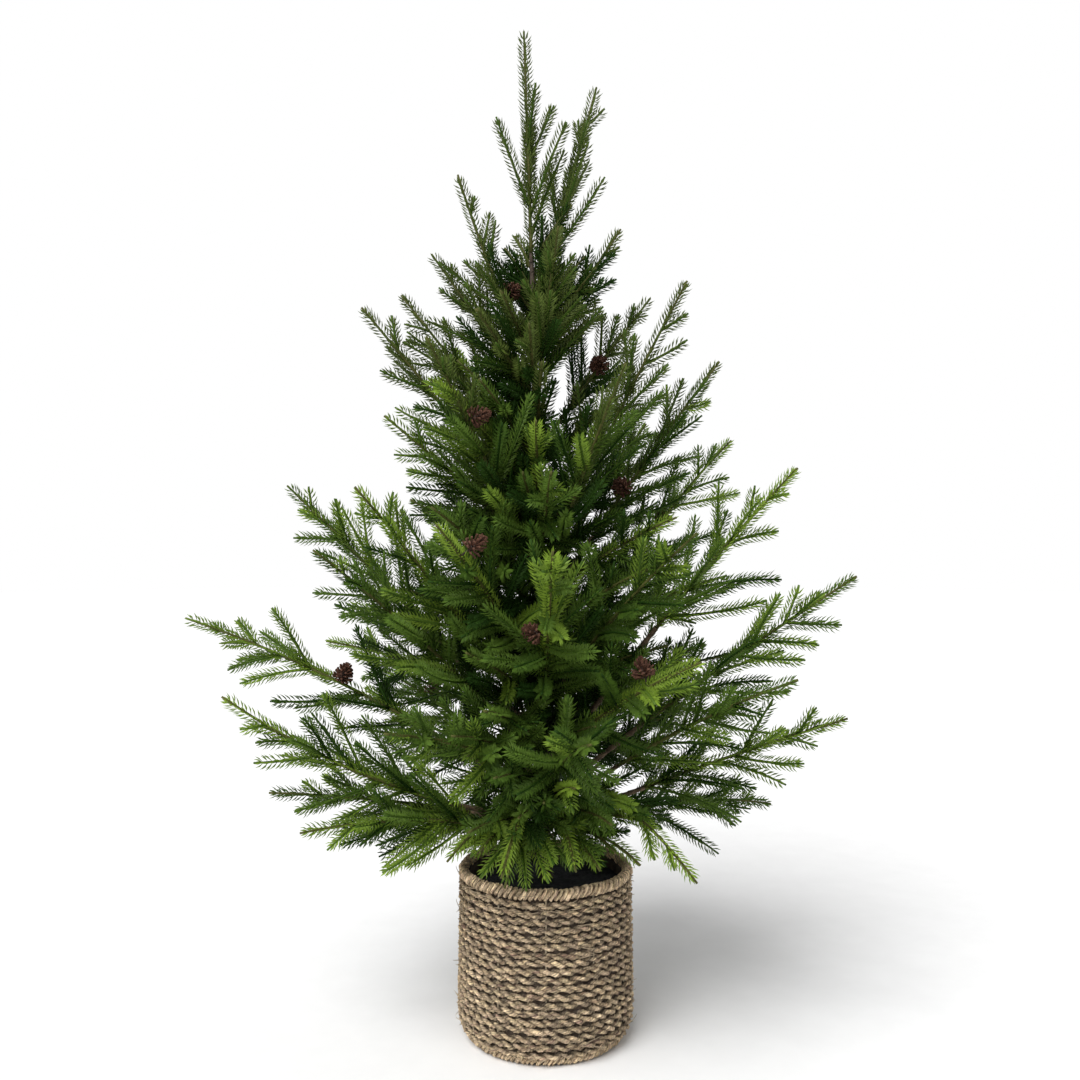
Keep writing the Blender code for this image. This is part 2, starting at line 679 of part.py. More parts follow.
def make_boughs(boughs, finish):
    """Each bough is one tapering limb that ends where its foliage begins."""
    for name, line, radius in boughs:
        shares = [i / BOUGH_RINGS for i in range(BOUGH_RINGS + 1)]
        radii = [radius * (1 + (BOUGH_END_SHARE - 1) * share) for share in shares]
        add_object("bough_" + name, tube_mesh(line, shares, radii, BOUGH_SIDES), finish)


def make_foliage(masses, finish):
    """Each mass is a needled stem with its twigs and cones fused on."""
    for mass in masses:
        stem = spray_mesh(mass.stem, mass.turn, mass.bare)
        piece = add_object("foliage_" + mass.name, stem, finish)
        extras = [spray_mesh(twig, turn, TWIG_ROOT / twig.length) for twig, turn in mass.twigs]
        extras += [cone_mesh(line, base) for line, base in cone_lines(mass)]
        fuse(piece, extras)


def clear_scene():
    for piece in list(bpy.data.objects):
        bpy.data.objects.remove(piece)


def main():
    clear_scene()
    boughs, masses = plan_masses()
    make_basket(material("seagrass", (0.42, 0.33, 0.22), 0.85))
    make_filling(material("black_filling", (0.012, 0.014, 0.025), 0.8))
    bark = material("paper_bark", (0.09, 0.055, 0.035), 0.8)
    make_trunk(bark)
    make_boughs(boughs, bark)
    make_foliage(masses, material("green_needles", (0.07, 0.16, 0.03), 0.5))


if __name__ == "__main__":
    main()
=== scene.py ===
# %% [markdown]
# # A small Norfolk Island pine in a seagrass basket
# The tree is an artificial one, 0.90 m tall: soft needles on wire twigs, brown cones, a trunk
# wound with paper tape, and a basket of twisted seagrass filled with dark foam. The frame's
# plain solids say where every branch and wall is. This lesson grows needles on the same
# branches and weaves the basket round the same shape.

# %% Load the frame
import math
import random

import bpy
import numpy as np
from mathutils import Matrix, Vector


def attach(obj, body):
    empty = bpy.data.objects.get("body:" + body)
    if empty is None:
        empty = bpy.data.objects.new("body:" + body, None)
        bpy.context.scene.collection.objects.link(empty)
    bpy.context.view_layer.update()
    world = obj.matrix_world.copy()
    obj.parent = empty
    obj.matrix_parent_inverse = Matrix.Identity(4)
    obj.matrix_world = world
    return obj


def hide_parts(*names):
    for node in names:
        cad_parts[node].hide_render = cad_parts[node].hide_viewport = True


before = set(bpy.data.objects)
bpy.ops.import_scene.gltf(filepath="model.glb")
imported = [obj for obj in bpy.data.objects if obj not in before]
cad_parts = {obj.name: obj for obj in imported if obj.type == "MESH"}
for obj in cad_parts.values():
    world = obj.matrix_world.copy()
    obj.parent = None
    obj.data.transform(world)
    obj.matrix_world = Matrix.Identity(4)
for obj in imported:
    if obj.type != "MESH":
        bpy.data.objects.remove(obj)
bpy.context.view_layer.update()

scene = bpy.context.scene
MM = 0.001
UP = Vector((0, 0, 1))
foliage_nodes = sorted(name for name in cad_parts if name.startswith("foliage_"))
bough_nodes = sorted(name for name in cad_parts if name.startswith("bough_"))
print(len(foliage_nodes), "masses of foliage and", len(bough_nodes), "boughs to dress")

# %% [markdown]
# ## The camera
# A photographer of such a tree stands a metre away, with the lens level at half the tree's
# height, so that upright lines stay upright and the basket is seen a little from above.

# %% Camera
CAMERA_PLACE = (-0.005, -0.953, 0.441)
bpy.ops.object.camera_add(location=CAMERA_PLACE, rotation=(math.radians(90), 0, 0))
camera = bpy.context.object
camera.name = "camera"
camera.data.sensor_width = 36
camera.data.lens = 35.2
camera.data.clip_start = 0.01
scene.camera = camera
scene.view_settings.view_transform = "Standard"
print("lens", camera.data.lens, "mm at", CAMERA_PLACE)

# %% [markdown]
# ## Helpers for meshes
# Operators act on whatever is selected, so every piece starts with nothing selected. Needles
# would take hours by hand, so their corners are worked out as arrays and handed to one mesh.

# %% Helpers for meshes
def select_only(*pieces):
    """Select these objects alone and make the first one active."""
    bpy.ops.object.select_all(action="DESELECT")
    for piece in pieces:
        piece.select_set(True)
    if pieces:
        bpy.context.view_layer.objects.active = pieces[0]


def linked(name, data):
    """A new object with this mesh or curve, in the scene."""
    piece = bpy.data.objects.new(name, data)
    scene.collection.objects.link(piece)
    return piece


def array_piece(name, points, faces, smooth=False):
    """One object from its corners and the corner numbers of its faces."""
    data = bpy.data.meshes.new(name)
    data.from_pydata(points, [], faces)
    data.polygons.foreach_set("use_smooth", [smooth] * len(faces))
    return linked(name, data)


def corner_array(piece):
    """The corners of a piece, as an array of places."""
    places = np.empty(len(piece.data.vertices) * 3)
    piece.data.vertices.foreach_get("co", places)
    return places.reshape(-1, 3)


def close_up(piece, weld, flat_angle):
    """Weld corners that lie closer than weld, turn all faces outwards and smooth the piece."""
    select_only(piece)
    bpy.ops.object.mode_set(mode="EDIT")
    bpy.ops.mesh.select_all(action="SELECT")
    if weld:
        bpy.ops.mesh.remove_doubles(threshold=weld)
    bpy.ops.mesh.normals_make_consistent(inside=False)
    bpy.ops.object.mode_set(mode="OBJECT")
    bpy.ops.object.shade_smooth_by_angle(angle=math.radians(flat_angle))


def dress(piece, nodes, finish):
    """Give a piece its finish, and say what it moves with and which solids it stands for."""
    piece.data.materials.clear()
    piece.data.materials.append(finish)
    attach(piece, "root")
    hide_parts(*nodes)
    triangles = sum(len(polygon.vertices) - 2 for polygon in piece.data.polygons)
    print(piece.name, triangles, "triangles, stands for", len(nodes), "solids")


print("helpers ready for", len(foliage_nodes) + len(bough_nodes) + 3, "solids")

# %% [markdown]
# ## Colour that varies
# Nothing on this tree is one even colour, so the effect is built once, as a group of nodes: two
# noises of different size are mixed, and they blend a dark and a light colour.

# %% The mottle group
FINER = 7.0
MIX_LOW, MIX_HIGH = 0.75, 1.25


def add_node(tree, kind, values=(), **settings):
    """A shader node with these settings, and with values for some of its inputs."""
    node = tree.nodes.new("ShaderNode" + kind)
    for setting, value in settings.items():
        setattr(node, setting, value)
    for socket, value in dict(values).items():
        node.inputs[socket].default_value = value
    return node


def connect(tree, *links):
    """Join nodes. A link is a node, its output, another node and its input."""
    for source, output, target, socket in links:
        tree.links.new(source.outputs[output], target.inputs[socket])


mottle = bpy.data.node_groups.new("mottle", "ShaderNodeTree")
for side, kind, label in (
        ("INPUT", "Vector", "Vector"), ("INPUT", "Float", "Scale"), ("INPUT", "Color", "Dark"),
        ("INPUT", "Color", "Light"), ("OUTPUT", "Color", "Color"), ("OUTPUT", "Float", "Mask")):
    mottle.interface.new_socket(label, in_out=side, socket_type="NodeSocket" + kind)
given = mottle.nodes.new("NodeGroupInput")
result = mottle.nodes.new("NodeGroupOutput")
broad = add_node(mottle, "TexNoise", {"Detail": 2, "Roughness": 0.5})
fine = add_node(mottle, "TexNoise", {"Detail": 4, "Roughness": 0.6})
finer = add_node(mottle, "Math", {1: FINER}, operation="MULTIPLY")
both = add_node(mottle, "Math", operation="ADD")
spread = add_node(mottle, "MapRange", {"From Min": MIX_LOW, "From Max": MIX_HIGH})
blend = add_node(mottle, "Mix", data_type="RGBA")
connect(mottle,
        (given, "Vector", broad, "Vector"), (given, "Vector", fine, "Vector"),
        (given, "Scale", broad, "Scale"), (given, "Scale", finer, 0), (finer, 0, fine, "Scale"),
        (broad, "Fac", both, 0), (fine, "Fac", both, 1), (both, 0, spread, "Value"),
        (spread, "Result", blend, "Factor"), (given, "Dark", blend, "A"),
        (given, "Light", blend, "B"), (blend, "Result", result, "Color"),
        (spread, "Result", result, "Mask"))
print("group", mottle.name, "with", len(mottle.nodes), "nodes")

# %% [markdown]
# A material here is a Principled shader fed by that group. One helper takes what differs from
# finish to finish. The patches follow Object coordinates, so they stay on the piece.

# %% A helper for finishes
ROUGH_SWAY = 0.1


def new_material(name):
    """A material with nodes, its node tree and its shader."""
    made = bpy.data.materials.new(name)
    made.use_nodes = True
    return made, made.node_tree, made.node_tree.nodes["Principled BSDF"]


def add_mottle(tree, node, output, scale, dark, light):
    """A node of the mottle group between two colours, placed by the output of a node."""
    values = {"Scale": scale, "Dark": (*dark, 1), "Light": (*light, 1)}
    made = add_node(tree, "Group", values, node_tree=mottle)
    connect(tree, (node, output, made, "Vector"))
    return made


def add_bumps(tree, mask, shader, depth):
    """Bumps as deep as this, in metres, where the mask of a mottle node is light."""
    relief = add_node(tree, "Bump", {"Distance": depth})
    connect(tree, (mask, "Mask", relief, "Height"), (relief, "Normal", shader, "Normal"))


def finish(name, dark, light, scale, roughness, bump=0.0, gloss=0.5):
    """A mottled finish. bump is in metres, gloss is the specular level."""
    made, tree, shader = new_material(name)
    shader.inputs["Specular IOR Level"].default_value = gloss
    patches = add_mottle(tree, add_node(tree, "TexCoord"), "Object", scale, dark, light)
    level = add_node(tree, "MapRange", {"To Min": roughness + ROUGH_SWAY,
                                        "To Max": roughness - ROUGH_SWAY})
    connect(tree, (patches, "Color", shader, "Base Color"), (patches, "Mask", level, "Value"),
            (level, "Result", shader, "Roughness"))
    if bump:
        add_bumps(tree, patches, shader, bump)
    return made


floor_paint = finish("floor_paint", (0.86, 0.86, 0.86), (0.90, 0.90, 0.90), 3, 0.8)
print("the first finish,", floor_paint.name, "has", len(floor_paint.node_tree.nodes), "nodes")

# %% [markdown]
# ## Where the branches are
# The frame's solids grew by a rule: a gently bent trunk, curved stems that end at named tips,
# and twigs that follow each other round their stem by 137.5 degrees, the angle that most plants
# use. A twig that would run into something is tried shorter or turned, or is left out. The same
# rule with the same seeds gives the same twigs here.

# %% The trunk's line
CLEAR = 0.3 * MM
TREE_HEIGHT = 900 * MM
TRUNK_FOOT = 137.3 * MM
TRUNK_TOP = 700 * MM
TRUNK_LEAN = -19.5 * MM
TRUNK_LEAN_CURVE = 1.4
TRUNK_FOOT_RADIUS = 5.2 * MM
TRUNK_FLARE_RADIUS = 7.5 * MM
TRUNK_FLARE_HEIGHT = 16 * MM
TRUNK_TIP_RADIUS = 2.0 * MM
TRUNK_SIDES = 8
TRUNK_RINGS = 10


def trunk_line(height):
    share = (height - TRUNK_FOOT) / (TREE_HEIGHT - TRUNK_FOOT)
    return Vector((TRUNK_LEAN * share ** TRUNK_LEAN_CURVE, 0.0, height))


def trunk_radius(height):
    share = (height - TRUNK_FOOT) / (TRUNK_TOP - TRUNK_FOOT)
    radius = TRUNK_FOOT_RADIUS + (TRUNK_TIP_RADIUS - TRUNK_FOOT_RADIUS) * share
    flare = max(0.0, 1 - (height - TRUNK_FOOT) / TRUNK_FLARE_HEIGHT) ** 2
    return radius + (TRUNK_FLARE_RADIUS - TRUNK_FOOT_RADIUS) * flare


trunk_tip = trunk_line(TREE_HEIGHT)
print("the tree's top leans", round(-1000 * trunk_tip.x, 1), "mm to the left")

# %% [markdown]
# Every stem and twig is a curve of three points: a start, an end, and a bend that pulls it. It
# is quick to measure and to cut, and has a direction at each place for needles to stand round.

# %% Curves for stems and twigs
LINE_STEPS = 12
NEAR_UPRIGHT = 0.1


class Line:
    """A curve from start to end whose bend is the point that it is drawn towards."""

    def __init__(self, start, bend, end):
        self.start = Vector(start)
        self.bend = Vector(bend)
        self.end = Vector(end)
        points = [self.at(i / LINE_STEPS) for i in range(LINE_STEPS + 1)]
        self.length = sum((b - a).length for a, b in zip(points, points[1:]))

    def at(self, t):
        return self.start * (1 - t) ** 2 + self.bend * 2 * t * (1 - t) + self.end * t ** 2

    def along(self, t):
        way = (self.bend - self.start) * (1 - t) + (self.end - self.bend) * t
        return way.normalized()

    def across(self, t, turn):
        """A direction square to the curve: level at turn 0, upwards at a quarter turn."""
        way = self.along(t)
        level = way.cross(UP)
        if level.length < NEAR_UPRIGHT:
            level = way.cross(Vector((0.0, 1.0, 0.0)))
        level.normalize()
        return level * math.cos(turn) + level.cross(way) * math.sin(turn)

    def between(self, t0, t1):
        bend = (self.start * (1 - t0) * (1 - t1)
                + self.bend * (t0 + t1 - 2 * t0 * t1)
                + self.end * t0 * t1)
        return Line(self.at(t0), bend, self.at(t1))


def arched(start, end, arch):
    """A line whose middle stands arch above the straight way."""
    return Line(start, (start + end) / 2 + 2 * arch * UP, end)


print("a level stem of 100 mm that is arched by 10 mm is",
      round(1000 * arched(Vector(), Vector((0.1, 0, 0)), 10 * MM).length, 1), "mm long")

# %% [markdown]
# The branches have names, and each has a foot on the trunk, a tip, an arch and a bare part
# before its first twig. The numbers are the frame's, so the needles sit where its solids are.

# %% The branches
# name, foot height, tip (across, deep, high), arch, bare share, bough radius, twig angle
BRANCHES = (
    ("low_left", 201, (-327, 6, 370), 15, 0.30, 2.8, 38),
    ("low_left_front", 191, (-267, -84, 312), -22, 0.30, 2.8, 38),
    ("low_left_level", 182, (-244, -22, 218), 6, 0.26, 0, 38),
    ("low_left_drooping", 174, (-199, -100, 204), 12, 0.26, 0, 38),
    ("low_left_back", 170, (-172, 74, 156), 20, 0.30, 0, 38),
    ("low_right", 182, (264, -30, 285), 4, 0.32, 2.8, 38),
    ("low_right_front", 206, (257, -80, 411), 6, 0.32, 2.8, 38),
    ("low_right_back", 172, (225, 100, 178), 16, 0.28, 0, 38),
    ("foot_right_front", 218, (119, -120, 170), 26, 0.30, 0, 40),
    ("foot_front", 202, (-35, -132, 178), 24, 0.34, 0, 40),
    ("foot_front_right", 196, (24, -104, 174), 20, 0.36, 0, 40),
    ("foot_left", 186, (-81, -90, 178), 20, 0.34, 0, 40),
    ("low_front", 222, (30, -226, 300), 6, 0.28, 0, 40),
    ("low_front_right", 240, (112, -186, 352), 8, 0.28, 0, 40),
    ("mid_right_front", 193, (196, -130, 332), 10, 0.30, 2.4, 38),
    ("low_front_left", 226, (-118, -186, 300), 8, 0.30, 0, 40),
    ("back_right", 190, (150, 196, 262), 10, 0.32, 2.6, 40),
    ("back", 182, (10, 268, 236), 10, 0.32, 2.6, 40),
    ("back_left", 209, (-176, 196, 300), 10, 0.32, 2.6, 40),
    ("mid_left", 244, (-238, 20, 491), 6, 0.32, 2.4, 38),
    ("high_right", 229, (213, -60, 502), 10, 0.44, 3.0, 38),
    ("mid_left_front", 258, (-151, -120, 483), 8, 0.26, 0, 38),
    ("mid_left_low", 236, (-184, -120, 433), 10, 0.24, 0, 38),
    ("mid_left_back", 272, (-222, 120, 338), 12, 0.26, 0, 40),
    ("mid_front", 268, (4, -215, 433), 8, 0.26, 0, 40),
    ("mid_right_back", 300, (189, 120, 542), 15, 0.26, 0, 38),
    ("mid_front_right", 290, (112, -165, 446), 8, 0.26, 0, 40),
    ("mid_front_left", 306, (-82, -170, 452), 8, 0.26, 0, 40),
    ("mid_back", 280, (30, 212, 420), 8, 0.26, 0, 40),
    ("mid_back_left", 312, (-128, 168, 474), 8, 0.26, 0, 38),
    ("upper_left", 452, (-160, -36, 643), 2, 0.22, 0, 36),
    ("upper_left_back", 500, (-138, 58, 675), 2, 0.22, 0, 36),
    ("upper_right", 410, (124, -28, 668), 4, 0.26, 0, 34),
    ("upper_right_back", 520, (100, 52, 671), 2, 0.22, 0, 36),
    ("upper_far_right", 376, (164, 42, 609), 4, 0.26, 0, 36),
    ("upper_left_low", 424, (-138, -52, 547), 4, 0.22, 0, 38),
    ("upper_front_left", 400, (-96, -108, 604), 4, 0.24, 0, 38),
    ("upper_front_right", 388, (62, -124, 580), 6, 0.24, 0, 38),
    ("upper_back", 440, (-20, 150, 600), 4, 0.22, 0, 38),
    ("upper_back_right", 400, (104, 132, 560), 4, 0.24, 0, 38),
    ("top_left", 604, (-80, 10, 774), -14, 0.20, 0, 32),
    ("top_left_low", 560, (-106, 30, 707), 2, 0.20, 0, 34),
    ("top_right", 640, (47, 20, 858), 0, 0.16, 0, 26),
    ("top_right_low", 596, (68, 2, 722), 2, 0.18, 0, 34),
    ("top_front", 560, (10, -82, 700), 4, 0.18, 0, 34),
    ("top_back", 580, (-24, 86, 722), 4, 0.18, 0, 34),
)
print(len(BRANCHES), "branches and the leader")

# %% [markdown]
# A branch's line is cut back in small steps, until a ring round its foot just clears the
# eight-sided trunk. The leader goes on from the trunk's tip.

# %% Lines of branches
STEM_RADIUS = 1.6 * MM
BOUGH_SIDES = 6
SEAT_STEP = 0.05 * MM
EDGE_SHARES = (0, 0.25, 0.5, 0.75)


def trunk_gap(ring):
    """The least gap between a ring of places, with its edges, and the trunk's side."""
    half = math.pi / TRUNK_SIDES
    gaps = []
    for first, second in zip(ring, ring[1:] + ring[:1]):
        for share in EDGE_SHARES:
            point = first.lerp(second, share)
            offset = point - trunk_line(point.z)
            turn = math.atan2(offset.y, offset.x) % (2 * half) - half
            side = trunk_radius(point.z) * math.cos(half) / math.cos(turn)
            gaps.append(math.hypot(offset.x, offset.y) - side)
    return min(gaps)


def branch_line(foot, tip, arch, wood, turn):
    """A branch from where its foot just clears the trunk to its tip."""
    line = arched(trunk_line(foot * MM), Vector(tip) * MM, arch * MM)
    start = 0.0
    while True:
        cut = line.between(start, 1)
        if wood:
            sides = [cut.across(0, math.tau * k / BOUGH_SIDES) for k in range(BOUGH_SIDES)]
            ring = [cut.start + side * wood * MM for side in sides]
        else:
            side = cut.across(0, turn) * STEM_RADIUS
            ridge = cut.across(0, turn + math.pi / 2) * STEM_RADIUS
            ring = [cut.start + side, cut.start + ridge, cut.start - side]
        if trunk_gap(ring) > CLEAR:
            return cut
        start += SEAT_STEP / line.length


def leader_line():
    """The shoot that goes on from the trunk's tip to the top of the tree."""
    start = trunk_line(TRUNK_TOP + CLEAR)
    middle = trunk_line((TRUNK_TOP + TREE_HEIGHT) / 2)
    end = trunk_line(TREE_HEIGHT)
    return Line(start, 2 * middle - (start + end) / 2, end)


print("the leader is", round(1000 * leader_line().length), "mm long")

# %% [markdown]
# A store of points along every limb and spray, each with a reach and an owner, tells how much
# room is left. A test looks only at the points in a box round the new twig, to be fast.

# %% The room that is left
NOBODY = -1


class Space:
    """The room that limbs and needles have taken, as points with a reach and an owner."""

    def __init__(self):
        self.points = np.empty((0, 3))
        self.reaches = np.empty(0)
        self.owners = np.empty(0, dtype=int)

    def take(self, points, reach, owner=NOBODY):
        self.points = np.vstack((self.points, np.array(points)))
        self.reaches = np.append(self.reaches, [reach] * len(points))
        self.owners = np.append(self.owners, [owner] * len(points))

    def fits(self, points, reach, gap, owner=NOBODY - 1):
        """Whether these points, grown by reach, keep a gap from what belongs to others."""
        points = np.array(points)
        margin = self.reaches.max() + reach + gap
        near = (self.points > points.min(0) - margin) & (self.points < points.max(0) + margin)
        near = near.all(1) & (self.owners != owner)
        if not near.any():
            return True
        gaps = np.linalg.norm(points[:, None] - self.points[near][None], axis=2)
        return bool((gaps - self.reaches[near][None]).min() - reach > gap)


SAMPLE_STEP = 5 * MM
SAMPLE_REACH = 3.2 * MM
SPACE_GAP = 1.2 * MM
NEEDLE_REACH = 9.0 * MM
RIDGE = 4.6 * MM
BLADE_TURN = math.radians(90)
BLADE_SWAY = 0.7
BLADE_SEED = 21000
SEEDS_PER_MASS = 40
RIM_RADIUS = 5 * MM
RIM_HEIGHT = 147 * MM
NECK_RADIUS = 78.5 * MM
WALL = 8 * MM
FILL_TOP = 137 * MM
FILL_RINGS = 7
RING_POINTS = 72


def line_shares(line):
    count = max(2, round(line.length / SAMPLE_STEP) + 1)
    return [i / (count - 1) for i in range(count)]


def line_points(line):
    return [line.at(t) for t in line_shares(line)]


def blade_points(line, turn):
    """Points along a spray's two edges and its ridge, in from its surface."""
    points = []
    for t in line_shares(line):
        side = line.across(t, turn) * (NEEDLE_REACH - SAMPLE_REACH)
        ridge = line.across(t, turn + math.pi / 2) * RIDGE / 2
        points += [line.at(t) - side, line.at(t) + ridge, line.at(t) + side]
    return points


def blade_turn(owner, order):
    chance = random.Random(BLADE_SEED + owner * SEEDS_PER_MASS + order)
    return BLADE_TURN + chance.uniform(-BLADE_SWAY, BLADE_SWAY)


def new_space():
    """A space in which the trunk, the basket's rim and the filling's top are taken."""
    space = Space()
    for step in range(TRUNK_RINGS):
        low, high = (TRUNK_FOOT + (TRUNK_TOP - TRUNK_FOOT) * end / TRUNK_RINGS
                     for end in (step, step + 1))
        piece = Line(trunk_line(low), trunk_line((low + high) / 2), trunk_line(high))
        space.take(line_points(piece), trunk_radius(low))
    heights = {NECK_RADIUS - RIM_RADIUS: RIM_HEIGHT}
    for ring in range(1, FILL_RINGS + 1):
        heights[(NECK_RADIUS - WALL) * ring / FILL_RINGS] = FILL_TOP - RIM_RADIUS
    turns = [math.tau * k / RING_POINTS for k in range(RING_POINTS)]
    for radius, height in heights.items():
        points = [(radius * math.cos(turn), radius * math.sin(turn), height) for turn in turns]
        space.take(points, RIM_RADIUS)
    return space


space = new_space()
print(len(space.points), "points for the trunk and the basket")

# %% [markdown]
# A mass is one branch with all that grows on it. Some carry a cone on a short stalk.

# %% Masses and cones
CONE_RADIUS = 9.5 * MM
CONE_LENGTH = 18 * MM
# branch, share of its stem, turn round the stem in degrees, stalk in mm
CONES = (
    ("low_left", 0.37, 110, 5),
    ("mid_front_left", 0.80, 135, 8),
    ("low_front_right", 0.70, 90, 9),
    ("upper_far_right", 0.44, 40, 5),
    ("upper_right_back", 0.50, 20, 5),
    ("top_left", 0.38, 120, 5),
    ("upper_front_left", 0.66, 150, 5),
    ("mid_front", 0.52, 20, 6),
    ("mid_back", 0.60, 60, 6),
    ("back_left", 0.50, 80, 6),
    ("upper_back", 0.62, 30, 5),
    ("mid_right_back", 0.62, 200, 5),
)


class Mass:
    """A stem with the share of it that is bare, its twigs, and its branch from the trunk on."""

    def __init__(self, name, stem, bare, angle, branch, inner):
        self.name, self.stem, self.bare, self.angle = name, stem, bare, angle
        self.branch, self.inner, self.twigs = branch, inner, []


def cone_lines(mass):
    """For each cone of a mass, the line from the stem to its tip and its base's share."""
    lines = []
    for branch, share, turn, stalk in CONES:
        if branch == mass.name:
            start = mass.stem.at(share)
            way = mass.stem.across(share, math.radians(turn))
            length = stalk * MM + CONE_LENGTH
            lines.append((arched(start, start + way * length, 0), stalk * MM / length))
    return lines


print(len(CONES), "cones,", round(1000 * CONE_LENGTH), "mm long")

# %% [markdown]
# Now the stems are laid out, then the cones' places are kept free, and the twigs follow by
# turns, one on each branch at a time, so that no branch takes all the room.

# %% Stems and main twigs
TWIG_TURN = math.radians(137.5)
TWIG_SPACING = 27 * MM
TWIG_SHARE = 0.52
TWIG_LONGEST = 84 * MM
TWIG_SHORTEST = 30 * MM
TWIG_ROOT = 9 * MM
TWIG_TURN_SWAY = 0.3
TWIG_BEND = 0.05
TWIG_TRIES = (1.0, 0.8, 0.62)
TWIG_SHIFTS = (0.0, 0.6, -0.6)
TWIG_SEED = 42000
FIRST_TWIG_SEED = 63000
LEADER_TWIG_ANGLE = 23
LEADER_FREE = 90 * MM


def tries(shares, shifts, stem, root, turn, angle, length, bend):
    """Twigs that leave a stem at root, forwards and to the side of turn; later ones shorter."""
    start = stem.at(root)
    for share in shares:
        for shift in shifts:
            side = stem.across(root, turn + shift) * math.sin(math.radians(angle))
            way = stem.along(root) * math.cos(math.radians(angle)) + side
            size = length * share
            yield arched(start, start + way * size, bend * size)


def add_twig(space, owner, mass, order):
    """Add the twig with this place in the order to a mass, if it has one and it fits."""
    stem = mass.stem
    root = mass.bare + (order + 0.5) * TWIG_SPACING / stem.length
    onward = (1 - root) * stem.length
    length = min(TWIG_LONGEST, onward * TWIG_SHARE)
    if length < TWIG_SHORTEST or mass.name == "leader" and onward < LEADER_FREE:
        return
    chance = random.Random(TWIG_SEED + owner * SEEDS_PER_MASS + order)
    first = random.Random(FIRST_TWIG_SEED + owner).uniform(0, math.tau)
    turn = first + TWIG_TURN * order + chance.uniform(-TWIG_TURN_SWAY, TWIG_TURN_SWAY)
    bend = chance.uniform(-TWIG_BEND, TWIG_BEND)
    roll = blade_turn(owner, order + 1)
    for twig in tries(TWIG_TRIES, TWIG_SHIFTS, stem, root, turn, mass.angle, length, bend):
        points = blade_points(twig.between(TWIG_ROOT / twig.length, 1), roll)
        if twig.length > TWIG_SHORTEST and space.fits(points, SAMPLE_REACH, SPACE_GAP, owner):
            mass.twigs.append(twig)
            space.take(points, SAMPLE_REACH, owner)
            return


boughs = []
masses = []
for owner, (name, foot, tip, arch, bare, wood, angle) in enumerate(BRANCHES):
    turn = blade_turn(owner, 0)
    line = branch_line(foot, tip, arch, wood, turn)
    branch, inner = line, bare
    if wood:
        boughs.append((line.between(0, bare), wood * MM))
        space.take(line_points(boughs[-1][0]), wood * MM, owner)
        line = line.between(bare + CLEAR / line.length, 1)
        bare = 0.0
    else:
        space.take(line_points(line.between(0, bare)), STEM_RADIUS, owner)
    space.take(blade_points(line.between(bare, 1), turn), SAMPLE_REACH, owner)
    masses.append(Mass(name, line, bare, angle, branch, inner))
leader_turn = blade_turn(len(masses), 0)
masses.append(Mass("leader", leader_line(), 0.0, LEADER_TWIG_ANGLE, leader_line(), 0.0))
space.take(blade_points(masses[-1].stem, leader_turn), SAMPLE_REACH, len(masses) - 1)
for owner, mass in enumerate(masses):
    for line, base in cone_lines(mass):
        space.take(line_points(line.between(base, 1)), CONE_RADIUS, owner)
longest = max(mass.stem.length for mass in masses)
for order in range(int(longest / TWIG_SPACING)):
    for owner, mass in enumerate(masses):
        add_twig(space, owner, mass, order)
print(sum(len(mass.twigs) for mass in masses), "main twigs")

# %% [markdown]
# ## Finer twigs
# The solids carry only some of the twigs, wider than life. The real tree has many more, so they
# grow on by the same rule, much closer together and from further in on each branch. The room is
# measured anew: needles of two sprays may reach between each other, but no twig runs through
# another, and each cone keeps its view to the front free.

# %% Room for finer twigs
FINE_ROOM = 3.0 * MM
FINE_START = 13 * MM
CONE_VIEW = 90 * MM
CONE_FREE = 12 * MM
axes = new_space()
for line, radius in boughs:
    axes.take(line_points(line), radius)
for mass in masses:
    if mass.bare:
        axes.take(line_points(mass.stem.between(0, mass.bare)), STEM_RADIUS)
    axes.take(line_points(mass.stem.between(mass.bare, 1)), FINE_ROOM)
    for line, base in cone_lines(mass):
        eye = line.end + Vector((0, -CONE_VIEW, 0))
        axes.take(line_points(line.between(base, 1)), CONE_RADIUS)
        axes.take(line_points(Line(line.end, line.end.lerp(eye, 0.5), eye)), CONE_FREE)
    for twig in mass.twigs:
        axes.take(line_points(twig.between(FINE_START / twig.length, 1)), FINE_ROOM)
print(len(axes.points), "points that finer twigs keep clear of")

# %% [markdown]
# High up and far out the crown is open, so there more of the finer twigs are left out. The
# chance of that rises with a twig's height and with its distance from the trunk.

# %% How finer twigs grow
FINE_SPACING = 10.0 * MM
FINE_FIRST = 0.3
FINE_SHORTEST = 17 * MM
FINE_LONGEST = 92 * MM
FINE_SHARE = 0.66
FINE_LENGTHS = (0.72, 1.0)
FINE_SEED = 84000
FINE_SEEDS = 100
FINE_TRIES = (1.0, 0.75, 0.55)
FINE_SHIFTS = (0.0, 0.5, -0.5, 1.1, -1.1, 1.9, -1.9, 2.8)
FINE_TURN_SWAY = 0.4
FINE_MOST = 0.8
ANGLE_SWAY = 6
INNER_SHARE = 0.35
LOW_FOOT = 260 * MM
OPEN_HEIGHT = 360 * MM
OPEN_REACH = 250 * MM
OPEN_HIGH, OPEN_FAR = 0.85, 0.62
OPEN_NEAR_TRUNK = 2.2
OWN_GAP = 0.2 * MM


def grown(twigs, start, most, shortest=0.0):
    """The first of these twigs that fits, or None. Its start may lie within its stem's room."""
    for twig in twigs:
        if twig.length >= shortest:
            points = line_points(twig.between(min(most, start / twig.length), 1))
            if axes.fits(points, FINE_ROOM, OWN_GAP):
                axes.take(points, FINE_ROOM)
                return twig
    return None


